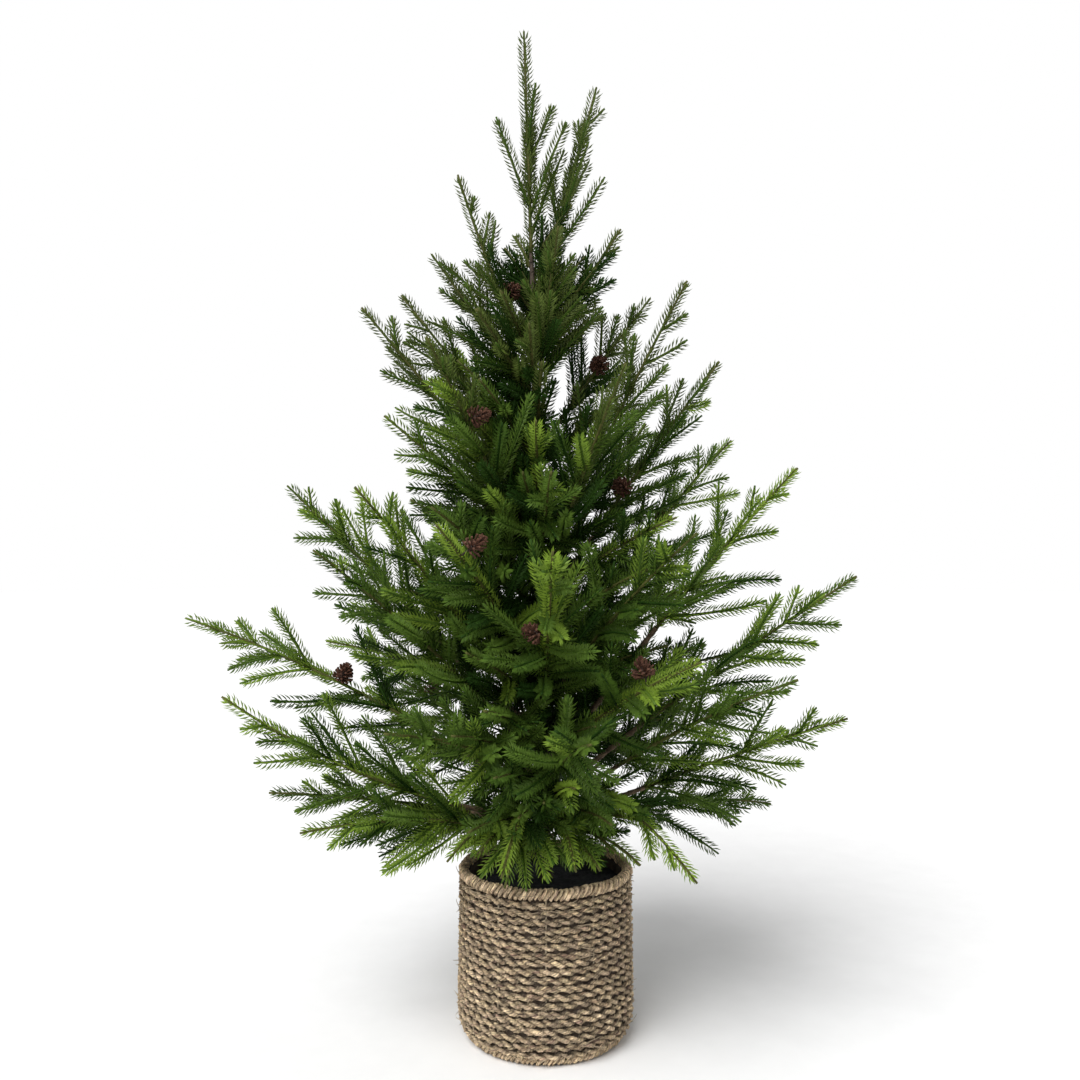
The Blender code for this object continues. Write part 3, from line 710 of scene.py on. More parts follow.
def add_fine_twig(owner, mass, order):
    """Add one finer twig to a mass, if it fits between those that are there."""
    stem = mass.branch
    start = mass.inner * (INNER_SHARE if stem.start.z > LOW_FOOT else 1.0)
    root = start + (order + FINE_FIRST) * FINE_SPACING / stem.length
    onward = (1 - root) * stem.length
    chance = random.Random(FINE_SEED + owner * FINE_SEEDS + order)
    length = min(FINE_LONGEST, onward * FINE_SHARE) * chance.uniform(*FINE_LENGTHS)
    turn = chance.uniform(-FINE_TURN_SWAY, FINE_TURN_SWAY) + TWIG_TURN * order + owner
    angle = mass.angle + chance.uniform(-ANGLE_SWAY, ANGLE_SWAY)
    bend = chance.uniform(-TWIG_BEND, TWIG_BEND)
    place = stem.at(min(1.0, root))
    high = max(0.0, (place.z - OPEN_HEIGHT) / (TREE_HEIGHT - OPEN_HEIGHT))
    far = math.hypot(place.x, place.y) / OPEN_REACH
    left_out = OPEN_HIGH * high * min(1.0, OPEN_NEAR_TRUNK * far) + OPEN_FAR * far
    if chance.random() < left_out or length < FINE_SHORTEST:
        return
    if mass.name == "leader" and onward < LEADER_FREE:
        return
    twigs = tries(FINE_TRIES, FINE_SHIFTS, stem, root, turn, angle, length, bend)
    twig = grown(twigs, FINE_START, FINE_MOST, FINE_SHORTEST)
    if twig:
        mass.twigs.append(twig)


print("a finer twig every", round(1000 * FINE_SPACING), "mm along each branch, where it fits")

# %% [markdown]
# Small fresh branches also hang over the basket's rim. They come before the other shoots, so
# they get their places first. The first is a fan, whose sprays are placed one by one.

# %% Small branches over the rim
RIM_BARE = 0.28
RIM_TWIG_ANGLE = 42
FAN_ARCH = 5 * MM
FAN_START = 0.3
# foot height, tip (across, deep, high), arch
RIM_BRANCHES = (
    (186, (-34, -92, 157), 20), (168, (44, -88, 170), 16), (182, (-54, -86, 186), 14),
    (166, (36, -87, 180), 15), (178, (58, -72, 180), 14), (172, (-73, -62, 178), 12),
    (196, (-2, -131, 236), 6), (204, (22, -141, 250), 4), (188, (-22, -121, 222), 8),
    (172, (78, -80, 172), 16), (190, (52, -112, 214), 10), (184, (-62, -112, 208), 8),
    (176, (-96, -40, 186), 12), (180, (96, -30, 190), 12), (186, (-40, 88, 190), 12),
    (178, (30, 96, 184), 14), (170, (72, 62, 180), 12), (174, (-82, 44, 182), 12),
)
# the first of them is a fan: where along its stem each spray leaves, and the spray's tip
RIM_FAN = (
    (0.36, (-62, -84, 180)), (0.42, (24, -92, 171)), (0.50, (2, -92, 161)),
    (0.56, (-54, -94, 166)), (0.30, (48, -84, 182)), (0.62, (-16, -102, 158)),
    (0.26, (-78, -66, 180)), (0.33, (6, -104, 180)))
rim_masses = []
for foot, tip, arch in RIM_BRANCHES:
    line = arched(trunk_line(foot * MM), Vector(tip) * MM, arch * MM)
    line = line.between(trunk_radius(foot * MM) / line.length, 1)
    points = line_points(line.between(RIM_BARE, 1))
    if axes.fits(points, FINE_ROOM, OWN_GAP - FINE_ROOM):
        axes.take(points, FINE_ROOM)
        rim_masses.append(Mass("rim", line, RIM_BARE, RIM_TWIG_ANGLE, line, RIM_BARE))
fan = rim_masses[0]
for share, tip in RIM_FAN:
    fan.twigs.append(arched(fan.stem.at(share), Vector(tip) * MM, FAN_ARCH))
    axes.take(line_points(fan.twigs[-1].between(FAN_START, 1)), FINE_ROOM)
print(len(rim_masses), "small branches over the rim")

# %% [markdown]
# Between the named branches the trunk carries shorter shoots, nearly level at its foot and
# steeper higher up. They fill the middle of the crown, where the solids leave room.

# %% Shoots on the trunk
SHOOT_LOWEST = 166 * MM
SHOOT_STEP = 6.5 * MM
SHOOT_STEEPEST, SHOOT_LEVELS, SHOOT_CURVE = 34, 50, 1.4
SHOOT_LONGEST = 0.18
SHOOT_SHARE = 0.33
SHOOT_LENGTHS = (0.7, 1.05)
SHOOT_BEND = 0.04
SHOOT_TRIES = (1.0, 0.8, 0.62, 0.48, 0.36)
SHOOT_TURNS = tuple(0.35 * k * (-1) ** k for k in range(18))
SHOOT_START = 9 * MM
SHOOT_MOST = 0.5
SHOOT_BARE = 0.12
SHOOT_TWIG_ANGLE = 18
SHOOT_SEED = 77
shoots = []
chance = random.Random(SHOOT_SEED)
span = TRUNK_TOP - SHOOT_LOWEST
trunk_stem = Line(trunk_line(SHOOT_LOWEST), trunk_line(SHOOT_LOWEST + span / 2),
                  trunk_line(TRUNK_TOP))
for order in range(int(span / SHOOT_STEP)):
    root = (order + 0.5) * SHOOT_STEP / span
    height = SHOOT_LOWEST + span * root
    angle = SHOOT_STEEPEST + SHOOT_LEVELS * (1 - root) ** SHOOT_CURVE
    angle += chance.uniform(-ANGLE_SWAY, ANGLE_SWAY)
    length = min(SHOOT_LONGEST, SHOOT_SHARE * (TREE_HEIGHT - height))
    length *= chance.uniform(*SHOOT_LENGTHS)
    shoot = grown(tries(SHOOT_TRIES, SHOOT_TURNS, trunk_stem, root, TWIG_TURN * order, angle,
                        length, SHOOT_BEND), SHOOT_START, SHOOT_MOST)
    if shoot:
        shoots.append(Mass("shoot", shoot, SHOOT_BARE, angle / 2 + SHOOT_TWIG_ANGLE,
                           shoot, SHOOT_BARE))
print(len(shoots), "shoots,", round(sum(shoot.stem.length for shoot in shoots), 1), "m long")

# %% [markdown]
# All of them, branches and shoots, now get their finer twigs, again one at a time by turns.

# %% Finer twigs on branches and shoots
growing = masses + rim_masses + shoots
longest = max(mass.branch.length for mass in growing)
for order in range(int(longest / FINE_SPACING)):
    for owner, mass in enumerate(growing):
        add_fine_twig(owner, mass, order)
needled = sum(mass.stem.length * (1 - mass.bare) for mass in growing)
needled += sum(twig.length for mass in growing for twig in mass.twigs)
print(sum(len(mass.twigs) for mass in growing), "twigs,", round(needled, 1), "m with needles")

# %% [markdown]
# ## Tones
# Each twig is a spray of needles, and its colour is dealt out by its place and a little chance:
# yellow-green low down and olive near the top, lighter far out and near the front, dark green
# inside. The lighter outside and front are painted light and the dark inside is painted shade.
# So the sprays are sorted by tone, and each tone gets its own pieces.

# %% Tones for sprays
TONES = ("deep", "dark", "mid", "fresh", "young", "olive")
TONE_LIMITS = (0.24, 0.38, 0.52, 0.66)
# the outward and front weights paint light on sprays far out and at the front, and shade on those
# inside the crown
TONE_BASE, TONE_LOW, PAINTED_LIGHT_OUT, PAINTED_LIGHT_FRONT, TONE_CHANCE = 0.03, 0.18, 0.42, 0.07, 0.2
LOWEST_TIP, TIP_SPAN = 0.14, 0.76
CROWN_TOP, CROWN_SLOPE, CROWN_WIDEST, CROWN_LEAST = 0.95, 0.6, 0.27, 0.05
MOST_OUTWARD = 1.2
FRONT_REACH = 0.2
TOP_HEIGHT, TOP_SWAY, TOP_TONE = 0.59, 0.05, 0.2
PALER_HEIGHT, PALER_SPAN, PALER_TONE = 0.42, 0.15, 0.12
LEADER_TONE = 0.74
RIM_TONE_TOP, RIM_TONE_FRONT, RIM_TONE = 0.19, 0.3, 0.22
LONE_YOUNG, LONE_FRONT = 0.02, 0.2
# sprays close to the trunk get a darker tone: painted shade
PAINTED_SHADE_REACH, PAINTED_SHADE_TONE = 0.055, 0.16
STEM_SHARE = 0.8
TONE_SEED = 5
STEM_WIRE = (1.9 * MM, 1.0 * MM)
TWIG_WIRE = (1.5 * MM, 0.9 * MM)
tone_chance = random.Random(TONE_SEED)


def spray_tone(line, share=0.5):
    """The number of a spray's tone, from where it is and a little chance."""
    middle, tip = line.at(share), line.end
    aside = math.hypot(middle.x, middle.y)
    crown = CROWN_WIDEST * min(1.0, (CROWN_TOP - tip.z) / CROWN_SLOPE)
    outward = min(MOST_OUTWARD, aside / max(CROWN_LEAST, crown))
    low = 1 - (tip.z - LOWEST_TIP) / TIP_SPAN
    front = max(-1.0, min(1.0, -tip.y / FRONT_REACH))
    # the outward and front terms are painted light and painted shade
    value = TONE_BASE + TONE_LOW * low + PAINTED_LIGHT_OUT * outward + PAINTED_LIGHT_FRONT * front
    value += tone_chance.uniform(-TONE_CHANCE, TONE_CHANCE)
    value += PALER_TONE * min(1.0, max(0.0, (tip.z - PALER_HEIGHT) / PALER_SPAN))
    if tip.z < RIM_TONE_TOP and front > RIM_TONE_FRONT:
        value += RIM_TONE
    elif aside < PAINTED_SHADE_REACH:
        value -= PAINTED_SHADE_TONE
    if tone_chance.random() < LONE_YOUNG and front > LONE_FRONT:
        return TONES.index("young")
    high = tip.z > TOP_HEIGHT + tone_chance.uniform(-TOP_SWAY, TOP_SWAY)
    if high and (value > TOP_TONE or tip.z > LEADER_TONE):
        return TONES.index("olive")
    return sum(value > limit for limit in TONE_LIMITS)


# A spray: its line, its tone, the radius of its wire at its root and at its tip
sprays = []
for mass in growing:
    stem = mass.stem.between(mass.bare, 1)
    sprays.append((stem, spray_tone(stem, STEM_SHARE), *STEM_WIRE))
for mass in growing:
    sprays += [(twig, spray_tone(twig), *TWIG_WIRE) for twig in mass.twigs]
counts = [sum(spray[1] == tone for spray in sprays) for tone in range(len(TONES))]
print("sprays of each tone", dict(zip(TONES, counts)))

# %% [markdown]
# ## Needles
# One needle leaves its twig at 50 degrees, curves forwards and ends in a point. A root, one
# ring of three corners and a tip are enough for that. The needles stand in whorls of six, each
# right above the one below but for a slow twist, so a spray's edge looks like a comb from any
# side. At a twig's end they close into a bud. Arrays give the corners of all needles at once.

# %% Needles of a spray
WHORL = 6
WHORL_PITCH = 3.7 * MM
WHORL_TWIST = 0.05
WHORL_SWAY, TURN_SWAY = 0.1, 0.12
NEEDLE_LENGTH = 9.6 * MM
NEEDLE_LENGTHS = (0.9, 1.08)
BUD_NEEDLE = 0.8
NEEDLE_HALF_WIDTH = 0.9 * MM
NEEDLE_KEEL = 0.8 * MM
NEEDLE_LEAN = math.radians(50)
LEAN_SWAY = 0.05
NEEDLE_CURL = math.radians(10)
CURLS = (0.6, 1.4)
BEND_SHARE = 0.56
TIP_LEAN = math.radians(20)
TIP_CURVE = 0.7
BUD_LENGTH = 5 * MM
END_ROOM = 6 * MM
ROOT_DEPTH = 0.6
CORNERS = 5
TRIANGLES = np.array([(2, 1, 0), (3, 2, 0), (1, 3, 0), (1, 2, 4), (2, 3, 4), (3, 1, 4)])
draw = np.random.default_rng(11)


def frames(line, t):
    """Places, ways along, level ways and upward ways of a line at an array of shares."""
    t = t[:, None]
    start, bend, end = (np.array(point)[None] for point in (line.start, line.bend, line.end))
    place = start * (1 - t) ** 2 + bend * 2 * t * (1 - t) + end * t ** 2
    way = (bend - start) * (1 - t) + (end - bend) * t
    way /= np.linalg.norm(way, axis=1)[:, None]
    level = np.cross(way, (0, 0, 1))
    upright = np.linalg.norm(level, axis=1) < NEAR_UPRIGHT
    level[upright] = np.cross(way[upright], (0, 1, 0))
    level /= np.linalg.norm(level, axis=1)[:, None]
    return place, way, level, np.cross(level, way)


def spray_needles(line, root_radius, tip_radius):
    """The corners of a spray's needles, as an array of needles, corners and axes."""
    reach = 1 - END_ROOM / line.length
    whorls = max(3, round(line.length * reach / WHORL_PITCH))
    whorl = np.repeat(np.arange(whorls), WHORL)
    count = len(whorl)
    t = reach * (whorl + 0.5 + draw.uniform(-WHORL_SWAY, WHORL_SWAY, count)) / whorls
    place, way, level, above = frames(line, t)
    turn = np.tile(np.arange(WHORL), whorls) * math.tau / WHORL + WHORL_TWIST * whorl
    turn += draw.uniform(-TURN_SWAY, TURN_SWAY, count) + draw.uniform(0, math.tau)
    out = level * np.cos(turn)[:, None] + above * np.sin(turn)[:, None]
    bud = np.clip((reach - t) * line.length / BUD_LENGTH, 0, 1)
    lean = TIP_LEAN + (NEEDLE_LEAN - TIP_LEAN) * bud ** TIP_CURVE
    lean += draw.normal(0, LEAN_SWAY, count)
    length = NEEDLE_LENGTH * (BUD_NEEDLE + (1 - BUD_NEEDLE) * bud)
    length *= draw.uniform(*NEEDLE_LENGTHS, count)
    radius = root_radius + (tip_radius - root_radius) * t
    curl = NEEDLE_CURL * draw.uniform(*CURLS, count)
    side = np.cross(out, way) * NEEDLE_HALF_WIDTH

    def step(angle, share):
        angle = angle[:, None]
        return (way * np.cos(angle) + out * np.sin(angle)) * (length * share)[:, None]

    root = place + out * (radius * ROOT_DEPTH)[:, None]
    bend = root + step(lean, BEND_SHARE)
    keel = out * np.cos(lean)[:, None] - way * np.sin(lean)[:, None]
    tip = bend + step(lean - curl, 1 - BEND_SHARE)
    return np.stack((root, bend + side, bend + keel * NEEDLE_KEEL, bend - side, tip), axis=1)


print("a needle has", len(TRIANGLES), "triangles")

# %% [markdown]
# Each tone has its finish. The needles of all its sprays are joined into one piece, or into
# several where they would be too many for one.

# %% Needles of each tone
NEEDLE_GRAIN = 40
MOST_NEEDLES = 30000
# the deep and dark tones, dealt to sprays inside the crown, are partly painted shade
# tone, dark and light colour, roughness, gloss
NEEDLE_COLOURS = (
    ("deep", (0.010, 0.032, 0.003), (0.025, 0.060, 0.008), 0.6, 0.08),
    ("dark", (0.037, 0.079, 0.008), (0.065, 0.120, 0.015), 0.6, 0.12),
    ("mid", (0.070, 0.132, 0.015), (0.107, 0.180, 0.025), 0.55, 0.16),
    ("fresh", (0.124, 0.204, 0.019), (0.174, 0.268, 0.034), 0.55, 0.16),
    ("young", (0.186, 0.292, 0.026), (0.250, 0.370, 0.048), 0.55, 0.16),
    ("olive", (0.058, 0.085, 0.014), (0.105, 0.148, 0.028), 0.55, 0.16),
)
needle_finishes = [finish("needles_" + label, dark, light, NEEDLE_GRAIN, roughness, gloss=gloss)
                   for label, dark, light, roughness, gloss in NEEDLE_COLOURS]
needle_count = 0
for tone, label in enumerate(TONES):
    chosen = [spray_needles(line, *radii) for line, own, *radii in sprays if own == tone]
    needles = sum(len(spray) for spray in chosen)
    needle_count += needles
    parts = math.ceil(needles / MOST_NEEDLES)
    for part in range(parts):
        corners = np.concatenate(chosen[part::parts])
        first = (np.arange(len(corners)) * CORNERS)[:, None, None]
        triangles = (TRIANGLES[None] + first).reshape(-1, 3)
        name = "needles_" + label + ("_%d" % (part + 1) if parts > 1 else "")
        piece = array_piece(name, corners.reshape(-1, 3), triangles)
        dress(piece, foliage_nodes, needle_finishes[tone])
print(needle_count, "needles")

# %% [markdown]
# ## The wires under the needles
# A branch's own wire is wound with brown and green tape. A twig's wire is a darker green than
# its needles, partly its own colour and partly painted shade between the needles, so they
# stand out before it. A closed tube of five sides is enough for both.

# %% Twig wires
WIRE_SIDES = 5
WIRE_STEP = 9 * MM
# twig wires take a darker tone than their needles: partly their own colour, partly painted shade
# between the needles
WIRE_TONES_WITH_PAINTED_SHADE = (0, 0, 1, 1, 2, 1)


def tube(line, root_radius, tip_radius, sides, step):
    """Corners, side faces and end faces of a tapering tube along a line."""
    count = max(3, int(line.length / step) + 1)
    t = np.linspace(0, 1, count)
    place, way, level, above = frames(line, t)
    turn = (np.arange(sides) * math.tau / sides)[None, :, None]
    radius = (root_radius + (tip_radius - root_radius) * t)[:, None, None]
    ring = level[:, None] * np.cos(turn) + above[:, None] * np.sin(turn)
    points = (place[:, None] + ring * radius).reshape(-1, 3)
    here = np.arange(sides)
    after = (here + 1) % sides
    first = (np.arange(count - 1) * sides)[:, None]
    quads = np.stack((first + here, first + here + sides, first + after + sides, first + after),
                     axis=2).reshape(-1, 4)
    return points, quads, np.array((here, (count - 1) * sides + here[::-1]))


def join_tubes(name, tubes):
    """Join tubes of one number of sides into one object."""
    firsts = np.cumsum([0] + [len(points) for points, quads, ends in tubes])
    faces = [face for kind in (1, 2) for one, first in zip(tubes, firsts)
             for face in (one[kind] + first).tolist()]
    return array_piece(name, np.concatenate([one[0] for one in tubes]), faces, True)


def wires(chosen):
    return [tube(line, *radii, WIRE_SIDES, WIRE_STEP) for line, own, *radii in chosen]


branch_wires = join_tubes("branch_wires", wires(sprays[:len(growing)]))
twig_tape = finish("twig_tape", (0.050, 0.060, 0.012), (0.120, 0.118, 0.032), 160, 0.7, gloss=0.2)
dress(branch_wires, foliage_nodes, twig_tape)
for tone, label in enumerate(TONES):
    twigs = wires([spray for spray in sprays[len(growing):] if spray[1] == tone])
    dress(join_tubes("twig_wires_" + label, twigs), foliage_nodes,
          needle_finishes[WIRE_TONES_WITH_PAINTED_SHADE[tone]])

# %% [markdown]
# ## Trunk and boughs
# They are wound with brown paper tape, whose edge leaves a low step at each turn. So a section,
# a circle with one step in it, is swept along a curve that is tilted evenly, which makes the
# step climb. The curve is then turned into a mesh.

# %% Sections and sweeps
SECTION_POINTS = 12
SECTION_STEP = (0.93, 0.16)
SECTION_LAP = 0.6
CAP_WELD = 0.000001
SWEEP_SMOOTH = 50


def section_curve(name, corners):
    """A closed flat outline that can be swept along a curve."""
    data = bpy.data.curves.new(name, "CURVE")
    data.dimensions = "2D"
    outline = data.splines.new("POLY")
    outline.points.add(len(corners) - 1)
    for point, (x, y) in zip(outline.points, corners):
        point.co = (x, y, 0, 1)
    outline.use_cyclic_u = True
    return linked(name, data)


def sweep(name, limbs, section, cyclic=False):
    """Sweep a section along each limb: (places, radii, tilts). Returns one mesh object."""
    data = bpy.data.curves.new(name, "CURVE")
    data.dimensions = "3D"
    data.twist_mode = "MINIMUM"
    data.bevel_mode = "OBJECT"
    data.bevel_object = section
    data.use_fill_caps = not cyclic
    for places, radii, tilts in limbs:
        spline = data.splines.new("POLY")
        spline.points.add(len(places) - 1)
        rows = np.concatenate((places, np.ones((len(places), 1))), axis=1)
        spline.points.foreach_set("co", rows.ravel())
        spline.points.foreach_set("radius", np.asarray(radii, float))
        spline.points.foreach_set("tilt", np.asarray(tilts, float))
        spline.use_cyclic_u = cyclic
    select_only(linked(name, data))
    bpy.ops.object.convert(target="MESH")
    piece = bpy.context.object
    close_up(piece, 0 if cyclic else CAP_WELD, SWEEP_SMOOTH)
    return piece


stepped = []
for k in range(SECTION_POINTS):
    share = k / (SECTION_POINTS - 1)
    angle = -math.tau * share * (SECTION_POINTS - SECTION_LAP) / SECTION_POINTS
    size = SECTION_STEP[0] + SECTION_STEP[1] * share
    stepped.append((size * math.cos(angle), size * math.sin(angle)))
tape_section = section_curve("tape_section", stepped)
print("the tape's section has", SECTION_POINTS, "points")

# %% [markdown]
# No hand winds tape evenly. Waves of chance change a limb's thickness and the tape's climb.

# %% Limbs wound with tape
TAPE_RINGS = 9
TAPE_WAVE = 0.011
TAPE_SWELL, TAPE_SLIP = 0.035, 0.5
TRUNK_TAPE, BOUGH_TAPE, STEM_TAPE = 9 * MM, 7 * MM, 6 * MM
BOUGH_TAPER, STEM_FOOT, STEM_TAPER = 0.25, 1.1, 0.1


def tape_limb(place_at, length, radius_at, pitch, seed):
    """Places, radii and tilts for a limb with tape at a pitch, a little uneven."""
    shares = np.linspace(0, 1, max(8, int(length / (pitch / TAPE_RINGS))))
    phases = np.random.default_rng(seed).uniform(0, math.tau, 4)
    uneven = sum(np.sin(shares * length / (TAPE_WAVE * (k + 1)) * math.tau + phases[k])
                 for k in range(4))
    places = np.array([place_at(share) for share in shares])
    radii = np.array([radius_at(share) for share in shares]) * (1 + TAPE_SWELL * uneven)
    return places, radii, shares * length / pitch * math.tau + TAPE_SLIP * uneven


trunk_span = TRUNK_TOP - TRUNK_FOOT
trunk_limb = tape_limb(
    lambda share: trunk_line(TRUNK_FOOT + trunk_span * share), trunk_span,
    lambda share: trunk_radius(TRUNK_FOOT + trunk_span * share), TRUNK_TAPE, 1)
bough_limbs = [
    tape_limb(line.at, line.length, lambda share: radius * (1 - BOUGH_TAPER * share),
              BOUGH_TAPE, 10 + order)
    for order, (line, radius) in enumerate(boughs)]
stem_limbs = []
for order, mass in enumerate(masses):
    if mass.bare:
        stem = mass.stem.between(0, mass.bare)
        stem_limbs.append(tape_limb(
            stem.at, stem.length, lambda share: STEM_RADIUS * (STEM_FOOT - STEM_TAPER * share),
            STEM_TAPE, 30 + order))
# the trunk's tape is darker than the same tape on boughs and stems: partly its own brown, partly
# painted shade of the crown's inside
trunk_tape_with_painted_shade = finish("trunk_tape_with_painted_shade", (0.020, 0.013, 0.009), (0.080, 0.052, 0.033), 130, 0.75, 0.0004)
tan_tape = finish("tan_tape", (0.075, 0.050, 0.028), (0.210, 0.140, 0.080), 150, 0.75, 0.0003)
dress(sweep("trunk_wrap", [trunk_limb], tape_section), ["trunk"], trunk_tape_with_painted_shade)
dress(sweep("bough_wraps", bough_limbs, tape_section), bough_nodes, tan_tape)
dress(sweep("stem_wraps", stem_limbs, tape_section), foliage_nodes, tan_tape)

# %% [markdown]
# ## Cones
# The cones are small, open and dark red-brown. One scale is modelled from a cube that is cut
# once each way: its root is drawn in, and its end is widened, bent up and given a blunt lip.

# %% One cone scale
ROOT_WIDTH, WIDTH_GAIN, LIP_LOSS = 0.30, 0.34, 0.10
ROOT_DEPTH_SHARE, DEPTH_GAIN = 0.13, 0.20
RISE, RISE_CURVE, LIP = 0.30, 2.2, 0.06
select_only()
bpy.ops.mesh.primitive_cube_add(size=1, location=(0.5, 0, 0))
scale = bpy.context.object
bpy.ops.object.mode_set(mode="EDIT")
bpy.ops.mesh.subdivide(number_cuts=1)
bpy.ops.object.mode_set(mode="OBJECT")
shape = corner_array(scale) + (0.5, 0, 0)
along = shape[:, 0]
lip = along > 0.9
shape[:, 1] *= ROOT_WIDTH + WIDTH_GAIN * along - LIP_LOSS * lip
shape[:, 2] *= ROOT_DEPTH_SHARE + DEPTH_GAIN * along ** 2
shape[:, 2] += RISE * along ** RISE_CURVE
shape[:, 0] += LIP * (np.abs(shape[:, 1]) < 0.01) * lip
scale_faces = np.array([tuple(polygon.vertices) for polygon in scale.data.polygons])
bpy.data.objects.remove(scale)
print("a cone scale has", len(scale_faces), "faces")

# %% [markdown]
# Scales stand in rings on a short core, flat at the base and ever steeper towards the tip.

# %% Rings of scales on each cone
# height share, scales in the ring, lean from the axis in degrees, length and width in mm
CONE_RINGS = (
    (0.02, 9, 98, 7.2, 4.6), (0.12, 9, 84, 8.0, 4.4), (0.24, 8, 66, 8.4, 4.0),
    (0.38, 8, 52, 8.2, 3.8), (0.52, 7, 42, 7.6, 3.4), (0.66, 6, 32, 6.6, 3.2),
    (0.80, 5, 20, 5.4, 2.8))
CONE_CORE = 2.6 * MM
CORE_TIP = 0.8 * MM
CORE_END = 0.94
STALK_RADIUS = 0.9 * MM
STALK_OVERLAP = 0.1
CORE_SIDES, CORE_STEP = 6, 3 * MM
RING_SPAN, RING_TWIST, RING_SWAY = 0.8, 5, 0.12
SCALE_TILT_SWAY = 7
SCALE_LENGTHS = (0.9, 1.08)
cone_draw = np.random.default_rng(3)


def cone_parts(line, base):
    """The corners of all scales of one cone."""
    parts = []
    foot, tip = line.at(base), line.at(1)
    axis = (tip - foot).normalized()
    sideways = axis.cross(Vector((0.3, 0.5, 0.8))).normalized()
    forward = axis.cross(sideways)
    for height, count, lean, length, width in CONE_RINGS:
        for k in range(count):
            turn = math.tau * (k + 0.5 * (count % 2)) / count + height * RING_TWIST
            turn += cone_draw.uniform(-RING_SWAY, RING_SWAY)
            out = sideways * math.cos(turn) + forward * math.sin(turn)
            tilt = math.radians(lean + cone_draw.uniform(-SCALE_TILT_SWAY, SCALE_TILT_SWAY))
            ahead = axis * math.cos(tilt) + out * math.sin(tilt)
            above = axis * math.sin(tilt) - out * math.cos(tilt)
            across = above.cross(ahead)
            stretch = length * MM * cone_draw.uniform(*SCALE_LENGTHS)
            root = foot + axis * height * CONE_LENGTH * RING_SPAN
            root += out * CONE_CORE * 0.5 * (1 - height)
            parts.append(np.array(root) + shape[:, :1] * np.array(ahead) * stretch
                         + shape[:, 1:2] * np.array(across) * width * MM
                         + shape[:, 2:3] * np.array(above) * width * MM)
    return parts


scale_points = []
core_tubes = []
for mass in masses:
    for line, base in cone_lines(mass):
        scale_points += cone_parts(line, base)
        for start, end, root, tip in ((0, base + STALK_OVERLAP, STALK_RADIUS, STALK_RADIUS),
                                      (base, CORE_END, CONE_CORE, CORE_TIP)):
            core_tubes.append(tube(line.between(start, end), root, tip, CORE_SIDES, CORE_STEP))
scale_points = np.array(scale_points)
first = (np.arange(len(scale_points)) * len(shape))[:, None, None]
cone_scales = array_piece("cone_scales", scale_points.reshape(-1, 3),
                          (scale_faces[None] + first).reshape(-1, 4))
cone_nodes = sorted({"foliage_" + cone[0] for cone in CONES})
cone_brown = finish("cone_brown", (0.030, 0.013, 0.008), (0.180, 0.082, 0.052), 300, 0.6,
                    0.0002, gloss=0.2)
cone_dark = finish("cone_dark", (0.018, 0.011, 0.008), (0.060, 0.034, 0.024), 300, 0.7)
dress(cone_scales, cone_nodes, cone_brown)
dress(join_tubes("cone_cores", core_tubes), cone_nodes, cone_dark)
print(len(core_tubes) // 2, "cones with", len(scale_points), "scales")

# %% [markdown]
# ## The basket
# It is woven from seagrass cord: nineteen rows, each of two strands twisted round each other.
# A strand is itself a twisted bundle of leaves, so it is a curve with a lobed section that
# turns as it goes. Waves of chance make the rows rise, sink and swell, as hand work does.

# %% The basket's shape
FOOT_RADIUS = 63 * MM
BELLY_RADIUS = 80 * MM
ROUNDING = 24 * MM
STRAND_POINTS = 8
LOBE_DEPTH, STRAND_FLATNESS = 0.2, 0.82


def basket_radius(height):
    """The basket's outer radius at a height."""
    if height < ROUNDING:
        turn = math.acos(1 - height / ROUNDING)
        return FOOT_RADIUS + (BELLY_RADIUS - FOOT_RADIUS) * math.sin(turn)
    share = (height - ROUNDING) / (RIM_HEIGHT - ROUNDING)
    return BELLY_RADIUS + (NECK_RADIUS - BELLY_RADIUS) * share


def waves(turns, longest, shortest, strength):
    """A smooth chance wave round the basket, with whole numbers of waves from longest up."""
    total = np.zeros_like(turns)
    for number in range(longest, shortest + 1):
        wave = np.sin(turns * number + weave_draw.uniform(0, math.tau))
        total += wave * weave_draw.uniform(0.4, 1)
    return strength * total / math.sqrt(shortest - longest + 1)


lobes = []
for k in range(STRAND_POINTS):
    angle = -math.tau * k / STRAND_POINTS
    size = 1.0 - LOBE_DEPTH * (k % 2)
    lobes.append((size * math.cos(angle), STRAND_FLATNESS * size * math.sin(angle)))
strand_section = section_curve("strand_section", lobes)
weave_draw = np.random.default_rng(8)
print("the basket is", round(2000 * basket_radius(RIM_HEIGHT / 2)), "mm wide half way up")

# %% [markdown]
# A row's two strands lie opposite each other and make a whole number of turns, so that their
# ends meet. Every row gets its own lay, so the rows' twists don't line up.

